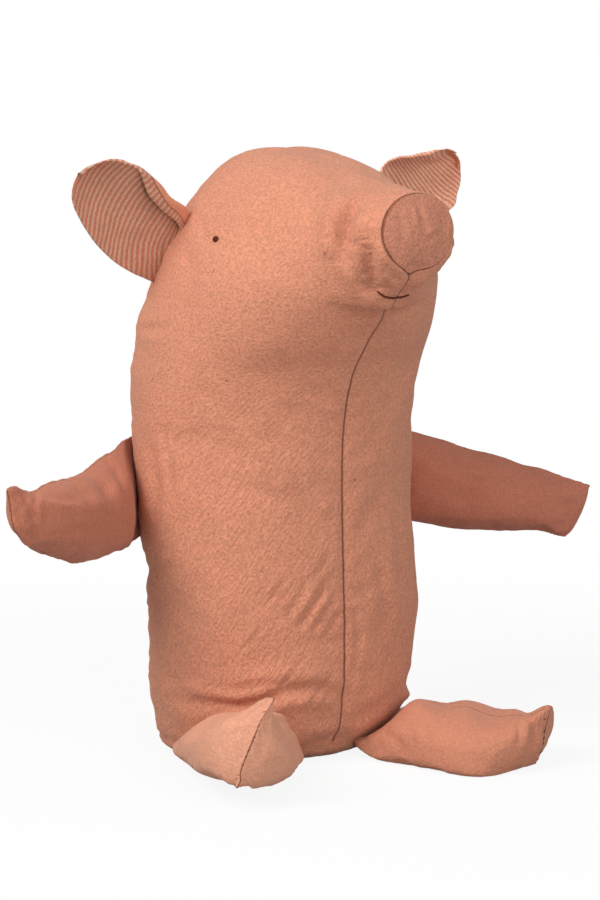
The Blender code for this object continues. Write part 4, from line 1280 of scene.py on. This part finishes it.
def closing_stitches(name, cloth, plan):
    """Short slanting stitches over the end seam of a foot, as one mesh."""
    tree = tree_of(cloth)
    place, half_side, half_height, middle, roll = plan["sections"][-1]
    count = int(2 * half_height * SEWN_share / STITCH_PITCH)
    joined = bmesh.new()
    draw = np.random.default_rng(count)
    for index in range(count):
        height = 2 * (index + 0.5 + draw.uniform(-0.3, 0.3)) / count - 1
        height = half_height * SEWN_share * height
        reach = STITCH_REACH * draw.uniform(0.7, 1.3)
        lean = draw.uniform(0.0002, 0.0009)
        path, lift = [], []
        for step in np.linspace(-1, 1, STITCH_STEPS):
            side, rise = rolled(step * reach, height + step * lean, roll)
            start = (plan["root"] + plan["across"] * side + plan["up"] * (rise + middle)
                     + plan["direction"] * (plan["length"] + RAY_START))
            hit, normal, _, _ = tree.ray_cast(Vector(start), Vector(-plan["direction"]), RAY_LENGTH)
            if hit is None:
                continue
            path.append(np.array(hit + normal * STITCH_LIFT))
            lift.append(np.array(normal))
        if len(path) < FEWEST_STEPS:
            continue
        stitch = thread("stitch", path, lift, STITCH_RADIUS, sides=6)
        joined.from_mesh(stitch.data)
        bpy.data.objects.remove(stitch)
    mesh = bpy.data.meshes.new(name)
    joined.to_mesh(mesh)
    joined.free()
    mesh.shade_smooth()
    made = bpy.data.objects.new(name, mesh)
    bpy.context.scene.collection.objects.link(made)
    print(name, count, "stitches")
    return made


foot_stitches = {name: closing_stitches(f"{name}_foot_stitches", limbs[name], LIMBS[name])
                 for name in ("leg_right", "leg_left")}

# %% [markdown]
# ## Maps for the finishes
# A weave or a seam line has to follow the cloth, so each cloth part carries a map in metres and the
# distance from each point to its nearest seam. A map called root holds painted shade: it darkens
# the colour in the deepest folds of the body, at the roots of the limbs and in the slit under the
# fold of an ear, where shadow falls. The materials read them.

# %%
# Store the cloth maps, the seam distances and the painted shades
LIMB_MAP_WIDTH = math.pi * 0.04
CROWN_SEAM_ROW = 10.4
# metres from a limb's root where its painted shade is darkest, and where the painted shade ends
PAINTED_LIMB_SHADE_REACH = {"arm_right": (-0.01, 0.04), "arm_left": (0.042, 0.112), "leg_right": (-0.02, 0.03),
              "leg_left": (-0.02, 0.03)}
# how strong the painted shade at each limb's root is
PAINTED_LIMB_SHADE_STRENGTHS = {"arm_right": 0.7, "arm_left": 1.0, "leg_right": 0.7, "leg_left": 0.7}
# painted shade on the dark sides of the deepest folds: width in pixels, strength, pixels of the line
PAINTED_SHADE_IN_FOLDS = (
    (5.0, 0.42, ((354, 196), (348, 210), (341, 225), (339, 240), (340, 258))),
    (4.5, 0.50, ((360, 246), (362, 258), (366, 272), (374, 288))),
    (3.5, 0.90, ((404, 706), (388, 720), (364, 736), (338, 752))),
    (7.0, 0.45, ((270, 758), (300, 758), (330, 752), (350, 742))),
)
EAR_TIP_CALM = 0.002
SLIT_WIDTH = 0.0013
SLIT_PLACE_share = 0.88


def store(cloth, name, values):
    """Stores a value at each point of a part, for its material."""
    kept = cloth.data.attributes.new(name, "FLOAT", "POINT")
    kept.data.foreach_set("value", np.asarray(values, dtype=np.float32))


def map_in_metres(cloth, wide, long):
    """Adds the map called cloth, which measures the flat cloth in metres."""
    corners = read(cloth.data.uv_layers["grid"].data, "uv", 2)
    cloth_map = cloth.data.uv_layers.new(name="cloth")
    cloth_map.data.foreach_set("uv", (corners * (wide, long)).ravel())


row, angle, girth, run, front, side, bottom, edge = body_marks(body_cloth)
map_in_metres(body_cloth, math.pi * TRUNK_WIDTH, BAG_LENGTH)
side = np.where(row > CROWN_SEAM_ROW, NO_SEAM, side)
store(body_cloth, "seam", np.minimum(front, side))
store(body_cloth, "rim", np.minimum((run - seam_run) * 9, (rim_run - run) * 0.7))
store(body_cloth, "belly", smooth(row, 1.0, 2.4) * (1 - 0.85 * smooth(row, 6.0, 9.0)))
# painted shade along the deepest folds of the body, where its normals face the camera
pixels = in_picture(places(body_cloth))
darker = np.zeros(len(pixels))
for width, strength, line in PAINTED_SHADE_IN_FOLDS:
    darker -= strength * crease(*to_line(pixels, line), width, 1.0, 0.0)
store(body_cloth, "root", darker * seen(leans(body_cloth)))
for name, cloth in limbs.items():
    place, turn, girth, run, seam, tip = limb_marks(cloth, LIMBS[name])
    map_in_metres(cloth, LIMB_MAP_WIDTH, LIMBS[name]["runs"][-1])
    store(cloth, "seam", seam)
    store(cloth, "rim", tip)
    # painted shade at each limb's root, where the body shades it, on points whose normals face the camera
    painted_root_shade = 1 - smooth(run, *PAINTED_LIMB_SHADE_REACH[name])
    store(cloth, "root", painted_root_shade * seen(leans(cloth)) * PAINTED_LIMB_SHADE_STRENGTHS[name])
round_, along = spots(snout_disc_cloth)
map_in_metres(snout_disc_cloth, math.pi * SNOUT_WIDTH, SNOUT_WIDTH)
disc_rim = (along - DISC_EDGE_share) * SNOUT_WIDTH / 2 / DISC_EDGE_share
store(snout_disc_cloth, "rim", disc_rim)
store(snout_disc_cloth, "seam", np.abs(disc_rim))
for name, cloth in ears.items():
    round_, along = spots(cloth)
    map_in_metres(cloth, EAR_WIDTH, EAR_LENGTH)
    rim_gap = np.minimum(round_, 1 - round_) * EAR_WIDTH + EAR_TIP_CALM * smooth(along, 0.84, 0.90)
    store(cloth, "seam", rim_gap)
    store(cloth, "rim", rim_gap)
    if name.endswith("lining"):
        plan = EARS[ear_name(name)]
        reach, below, above, flap, thick = ear_flat(plan, round_, along, True)
        # painted shadow in the slit under the ear's fold, where the fold shades the lining
        from_slit = (reach - above + SLIT_PLACE_share * flap) / SLIT_WIDTH
        store(cloth, "root", np.exp(-from_slit ** 2) * flap / plan["flap"])
        bow = plan["bow"] * (reach - plan["bow_middle"]) ** 2
        lean = math.radians(plan["lean"])
        stripes = EAR_LENGTH * along * math.cos(lean) - reach * math.sin(lean) + bow
        store(cloth, "stripe", stripes / plan["pitch"])
print("maps stored")

# %% [markdown]
# ## Cloth finishes
# The pig is sewn from washed cotton: a pebbly grain about a millimetre wide, small crinkles that run
# up to the right on the belly, a slight change of colour from place to place and a few dark flecks.
# Grain and crinkles are bumps of a few tenths of a millimetre. The hollows of the pebbles and
# the grain are a little darker: partly the cloth's own uneven tone, and partly painted shade
# in the hollows.

# %%
# Small helpers for materials
def feed(tree, made, inputs):
    """Sets or links inputs of a node."""
    for key, value in inputs.items():
        if isinstance(value, bpy.types.NodeSocket):
            tree.links.new(value, made.inputs[key])
        else:
            made.inputs[key].default_value = value


def socket(tree, kind, inputs, output=0, **settings):
    """Adds a node, sets or links its inputs, and returns one of its outputs."""
    made = tree.nodes.new(kind)
    for key, value in settings.items():
        setattr(made, key, value)
    feed(tree, made, inputs)
    return made.outputs[output]


def sums(tree, operation, *values):
    """A sum or other arithmetic on values."""
    return socket(tree, "ShaderNodeMath", dict(enumerate(values)), operation=operation)


def times(tree, first, *others):
    """The product of values."""
    for value in others:
        first = sums(tree, "MULTIPLY", first, value)
    return first


def spread(tree, value, low, high, to_low=0.0, to_high=1.0):
    """Spreads the values between low and high over another range, with soft ends."""
    return socket(tree, "ShaderNodeMapRange", {0: value, 1: low, 2: high, 3: to_low, 4: to_high},
                  interpolation_type="SMOOTHSTEP")


def mixed(tree, share, first, second):
    """A colour between two."""
    return socket(tree, "ShaderNodeMix", {0: share, 6: first, 7: second}, output=2, data_type="RGBA")


def shaded(tree, colour, shade):
    """A colour made lighter or darker."""
    return socket(tree, "ShaderNodeVectorMath", {0: colour, 3: shade}, operation="SCALE")


def grain(tree, where, scale, detail=2.0, rough=0.5, distortion=0.0):
    """Soft noise with so many lumps to the metre."""
    return socket(tree, "ShaderNodeTexNoise", {"Vector": where, "Scale": scale, "Detail": detail,
                  "Roughness": rough, "Distortion": distortion})


def bumped(tree, height, distance, before=None):
    """Adds a bump of so many metres to the surface, over an earlier one."""
    inputs = {"Height": height, "Distance": distance, "Strength": 1.0}
    if before is not None:
        inputs["Normal"] = before
    return socket(tree, "ShaderNodeBump", inputs)


def new_finish(name):
    """A new material with its node tree and its surface node."""
    made = bpy.data.materials.new(name)
    made.use_nodes = True
    return made, made.node_tree, made.node_tree.nodes["Principled BSDF"]


def object_place(tree):
    """The place on the object, in metres."""
    return socket(tree, "ShaderNodeTexCoord", {}, output=3)


def stored(tree, name):
    """A value stored at the points of the part."""
    return socket(tree, "ShaderNodeAttribute", {}, output=2, attribute_name=name)


def painted_shade_factor(tree, depth):
    """1, and less where the map called root holds painted shade."""
    return sums(tree, "MULTIPLY_ADD", stored(tree, "root"), -depth, 1.0)


def turned_map(tree, turn, scale):
    """The cloth map, turned and stretched."""
    flat = socket(tree, "ShaderNodeUVMap", {}, uv_map="cloth")
    return socket(tree, "ShaderNodeMapping", {"Vector": flat, "Rotation": (0, 0, math.radians(turn)),
                  "Scale": scale}, vector_type="TEXTURE")


# %%
# Washed cotton
CLOTH_COLOUR = (0.79, 0.322, 0.196, 1)
# the limbs' cotton colour, made lighter or darker for each limb as its light falls: painted light and shade
LIMB_TONES_WITH_PAINTED_LIGHT = {
    "arm_right": (0.55, 0.195, 0.119, 1),
    "arm_left": (0.63, 0.220, 0.139, 1),
    "leg_right": (0.85, 0.397, 0.255, 1),
    "leg_left": (0.67, 0.270, 0.165, 1),
}
# the snout disc's cotton, painted darker than the body's as shade, where it faces away from the light
SNOUT_DISC_TONE_WITH_PAINTED_SHADE = (0.73, 0.292, 0.185, 1)
SEAM_COLOUR = (0.13, 0.036, 0.020, 1)
FLECK_COLOUR = (0.33, 0.12, 0.07, 1)
# how far the painted shade of the map called root darkens the cotton
PAINTED_SHADE_DEPTH = 0.60
# how far the painted shadow in that slit darkens the ear lining
PAINTED_SLIT_SHADOW = 0.65


def washed_cotton(name, colour, pebble_size, pebble_depth, grain_depth, belly_depth, seam_width=0.00045,
                  pebble_shade=0.13):
    """Washed cotton with pebbles, grain, slanting crinkles and a dark line along its seams."""
    made, tree, surface = new_finish(name)
    where = object_place(tree)
    pebbles = grain(tree, where, 1 / pebble_size, 4.0, 0.6, distortion=0.15)
    threads = grain(tree, where, 1400.0, 2.0, 0.6)
    broad = grain(tree, where, 28.0, 3.0, 0.5)
    normal = bumped(tree, threads, grain_depth)
    normal = bumped(tree, pebbles, pebble_depth, normal)
    if belly_depth:
        slanted = turned_map(tree, 50, (0.0075, 0.0016, 1.0))
        creases = grain(tree, slanted, 1.0, 3.0, 0.6, distortion=0.4)
        masked = times(tree, spread(tree, creases, 0.28, 0.72), stored(tree, "belly"))
        normal = bumped(tree, masked, belly_depth, normal)
    # hollows of pebbles and grain darker: partly the cloth's own tone, partly painted shade
    shade = spread(tree, pebbles, 0.30, 0.72, 1.0 - pebble_shade, 1.0 + pebble_shade / 2)
    tint = spread(tree, broad, 0.30, 0.70, 0.97, 1.025)
    fine = spread(tree, threads, 0.25, 0.75, 0.95, 1.03)
    # painted shade from the map called root darkens the colour in folds and at limb roots
    toned = shaded(tree, colour[:3], times(tree, shade, tint, fine, painted_shade_factor(tree, PAINTED_SHADE_DEPTH)))
    fleck = spread(tree, grain(tree, where, 330.0, 0.0), 0.865, 0.885)
    toned = mixed(tree, times(tree, fleck, 0.7), toned, FLECK_COLOUR)
    nearest = sums(tree, "MINIMUM", stored(tree, "seam"), sums(tree, "ABSOLUTE", stored(tree, "rim")))
    line = spread(tree, nearest, 0.0, seam_width * 2, 0.9, 0.0)
    toned = mixed(tree, line, toned, SEAM_COLOUR)
    feed(tree, surface, {"Base Color": toned, "Normal": normal, "Roughness": 0.92,
                         "Specular IOR Level": 0.18, "Sheen Weight": 0.22, "Sheen Roughness": 0.45,
                         "Sheen Tint": (1.0, 0.78, 0.66, 1)})
    return made


# colour, size and depth of the pebbles, depth of the grain and of the belly's crinkles
body_finish = washed_cotton("washed cotton of the body", CLOTH_COLOUR, 0.0013, 0.00085, 0.00025,
                            0.0003, seam_width=0.00038, pebble_shade=0.22)
limb_finishes = {name: washed_cotton(f"washed cotton of {name}", colour, 0.0012, 0.00055, 0.00020, 0,
                                     seam_width=0.00030)
                 for name, colour in LIMB_TONES_WITH_PAINTED_LIGHT.items()}
ear_finish = washed_cotton("washed cotton of the ears", CLOTH_COLOUR, 0.0020, 0.00032, 0.00014, 0)
disc_finish = washed_cotton("snout cotton with painted shade", SNOUT_DISC_TONE_WITH_PAINTED_SHADE, 0.0012, 0.0008, 0.00030, 0,
                            seam_width=0.0003, pebble_shade=0.26)
print("cotton finishes ready")

# %%
# The striped lining of the ears
CORAL = (0.70, 0.240, 0.158, 1)
BEIGE = (0.78, 0.485, 0.325, 1)


def striped_lining(name, light):
    """Narrow coral and beige stripes across the ear, a little uneven as in a soft woven cloth."""
    made, tree, surface = new_finish(f"striped lining of {name}")
    where = object_place(tree)
    apart = stored(tree, "stripe")
    wander = times(tree, sums(tree, "SUBTRACT", grain(tree, where, 55.0, 2.0), 0.5), 1.1)
    fray = times(tree, sums(tree, "SUBTRACT", grain(tree, where, 900.0, 2.0), 0.5), 0.5)
    along = sums(tree, "ADD", sums(tree, "ADD", apart, wander), fray)
    wave = sums(tree, "SINE", times(tree, along, 2 * math.pi))
    band = spread(tree, wave, -0.75, 0.75)
    threads = grain(tree, where, 1300.0, 2.0, 0.6)
    broad = grain(tree, where, 60.0, 3.0, 0.5)
    # light makes the whole lining lighter or darker as painted light; root adds painted shadow in the slit
    shade = times(tree, spread(tree, threads, 0.25, 0.75, 0.86 * light, 1.08 * light),
                  spread(tree, broad, 0.3, 0.7, 0.93, 1.05), painted_shade_factor(tree, PAINTED_SLIT_SHADOW))
    toned = shaded(tree, mixed(tree, band, CORAL, BEIGE), shade)
    normal = bumped(tree, threads, 0.00025)
    normal = bumped(tree, band, 0.00018, normal)
    normal = bumped(tree, grain(tree, where, 260.0, 3.0), 0.0005, normal)
    feed(tree, surface, {"Base Color": toned, "Normal": normal, "Roughness": 0.93,
                         "Specular IOR Level": 0.15, "Sheen Weight": 0.2,
                         "Sheen Tint": (1.0, 0.8, 0.7, 1)})
    return made


# painted light: each ear's lining made lighter or darker as its light falls on it
EAR_LINING_PAINTED_LIGHT = {"ear_right": 0.88, "ear_left": 1.20}
lining_finishes = {name: striped_lining(name, light) for name, light in EAR_LINING_PAINTED_LIGHT.items()}
print("lining ready, stripes", [plan["pitch"] * 1000 for plan in EARS.values()], "mm apart")

# %%
# The dark thread
THREAD_COLOUR = (0.125, 0.028, 0.014, 1)


def dark_thread():
    """Embroidery thread of two twisted strands."""
    made, tree, surface = new_finish("dark thread")
    flat = socket(tree, "ShaderNodeUVMap", {}, uv_map="grid")
    slanted = socket(tree, "ShaderNodeMapping", {"Vector": flat, "Scale": (1.0, 16.0, 1.0)})
    flat_round = socket(tree, "ShaderNodeSeparateXYZ", {"Vector": slanted}, output=0)
    along = socket(tree, "ShaderNodeSeparateXYZ", {"Vector": slanted}, output=1)
    twist = sums(tree, "SINE", times(tree, sums(tree, "ADD", flat_round, along), 2 * math.pi * 2))
    fuzz = grain(tree, object_place(tree), 4000.0, 2.0)
    shade = times(tree, spread(tree, twist, -1.0, 1.0, 0.6, 1.5), spread(tree, fuzz, 0.2, 0.8, 0.7, 1.4))
    normal = bumped(tree, fuzz, 0.00005)
    normal = bumped(tree, twist, 0.00010, normal)
    feed(tree, surface, {"Base Color": shaded(tree, THREAD_COLOUR[:3], shade), "Normal": normal,
                         "Roughness": 0.85, "Specular IOR Level": 0.15})
    return made


thread_finish = dark_thread()

# %%
# Give each part its finish and hide the solids it stands for; the body, the disc, the eyes,
# the mouth and the foot stitches are attached to their bodies
def dress(cloth, finish, slot_name, *nodes):
    """One finish on a part, and what it stands for in the solid model."""
    cloth.data.materials.clear()
    cloth.data.materials.append(finish)
    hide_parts(*nodes)


joint_place = {joint["child"]: np.array(joint["pos_m"]) for joint in frame["joints"]}
dress(body_cloth, body_finish, "washed_cloth", "body_panel_right", "body_panel_left", "back_panel",
      "base_panel", "body_filling")
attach(body_cloth, "body")
dress(snout_disc_cloth, disc_finish, "disc_cloth", "snout_disc")
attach(snout_disc_cloth, "body")
for name, cloth in limbs.items():
    panels = ("front_panel", "back_panel") if name.startswith("arm") else ("outer_panel", "inner_panel")
    dress(cloth, limb_finishes[name], "washed_cloth", *[f"{name}_{panel}" for panel in panels],
          f"{name}_filling")
    way = LIMBS[name]["direction"]
    start, end = joint_place[name] - way * 0.003, joint_place[name] + way * 0.015
    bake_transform(cloth)
for name, cloth in ears.items():
    ear = ear_name(name)
    plan = EARS[ear]
    striped = name.endswith("lining")
    dress(cloth, lining_finishes[ear] if striped else ear_finish,
          "striped_lining" if striped else "washed_cloth", name)
    way = plan["direction"]
    start, end = joint_place[ear] - way * 0.002, joint_place[ear] + way * 0.010
    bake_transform(cloth)
for name, knot in zip(EYE_NAMES, eyes):
    dress(knot, thread_finish, "dark_thread", name)
    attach(knot, "body")
dress(mouth, thread_finish, "dark_thread", "mouth_stitch")
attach(mouth, "body")
for name, stitches in foot_stitches.items():
    dress(stitches, thread_finish, "dark_thread", f"{name}_closing_stitches")
    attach(stitches, name)
print("dressed")

# %% [markdown]
# ## Floor, background and light
# The photograph has a pure white background and soft light from the upper left. The floor and the
# world are white to the camera only, so that the white costs no extra light on the cloth, and the
# floor keeps a soft shadow.

# %%
# Floor and background
FLOOR_HALF = 4.0
FLOOR_WHITE = 0.90
FLOOR_GREY = (0.45, 0.45, 0.45, 1)
FLOOR_SEEN = (0.95, 0.95, 0.95, 1)
WHITE = (1, 1, 1, 1)
SHADOW_RADIUS = (0.22, 0.60)
AMBIENT = 0.34


def direct_rays(tree):
    """1 for rays that carry the picture to the camera, and 0 for rays that light the cloth."""
    rays = tree.nodes.new("ShaderNodeLightPath")
    direct = sums(tree, "MAXIMUM", rays.outputs["Is Camera Ray"], rays.outputs["Is Glossy Ray"])
    return sums(tree, "MAXIMUM", direct, rays.outputs["Is Transmission Ray"])


floor_mesh = bmesh.new()
bmesh.ops.create_grid(floor_mesh, x_segments=1, y_segments=1, size=FLOOR_HALF)
floor_data = bpy.data.meshes.new("floor")
floor_mesh.to_mesh(floor_data)
floor_mesh.free()
floor = bpy.data.objects.new("floor", floor_data)
bpy.context.scene.collection.objects.link(floor)
floor_finish, tree, surface = new_finish("white floor")
direct = direct_rays(tree)
feed(tree, surface, {"Roughness": 0.8, "Specular IOR Level": 0.0,
                     "Base Color": mixed(tree, direct, FLOOR_GREY, FLOOR_SEEN)})
white = socket(tree, "ShaderNodeEmission", {"Color": WHITE, "Strength": 1.0})
from_pig = socket(tree, "ShaderNodeVectorMath", {0: object_place(tree)}, output=1, operation="LENGTH")
whiteness = spread(tree, from_pig, *SHADOW_RADIUS, FLOOR_WHITE, 1.0)
both = socket(tree, "ShaderNodeMixShader", {0: times(tree, direct, whiteness),
              1: surface.outputs[0], 2: white})
feed(tree, tree.nodes["Material Output"], {"Surface": both})
floor_data.materials.append(floor_finish)

world = bpy.data.worlds.new("white studio")
bpy.context.scene.world = world
world.use_nodes = True
tree = world.node_tree
strength = sums(tree, "MULTIPLY_ADD", direct_rays(tree), 1 - AMBIENT, AMBIENT)
feed(tree, tree.nodes["Background"], {"Color": WHITE, "Strength": strength})
print("white floor and world")

# %%
# Lamps
def lamp(name, aside, up, back, size, power):
    """A square lamp aimed at the middle of the pig, placed as seen from the camera."""
    light = bpy.data.objects.new(name, bpy.data.lights.new(name, "AREA"))
    light.data.shape = "SQUARE"
    light.data.size = size
    light.data.energy = power
    place = look_at + view_right * aside + Vector((0, 0, up)) + view_back * back
    light.location = place
    light.rotation_euler = (place - look_at).to_track_quat("Z", "Y").to_euler()
    bpy.context.scene.collection.objects.link(light)


lamp("main lamp", -1.00, 1.05, 1.0, 0.9, 23.5)
lamp("front lamp", 0.8, 0.5, 1.4, 1.2, 10.5)
view = bpy.context.scene.view_settings
view.view_transform = "Standard"
print("lamps lit")
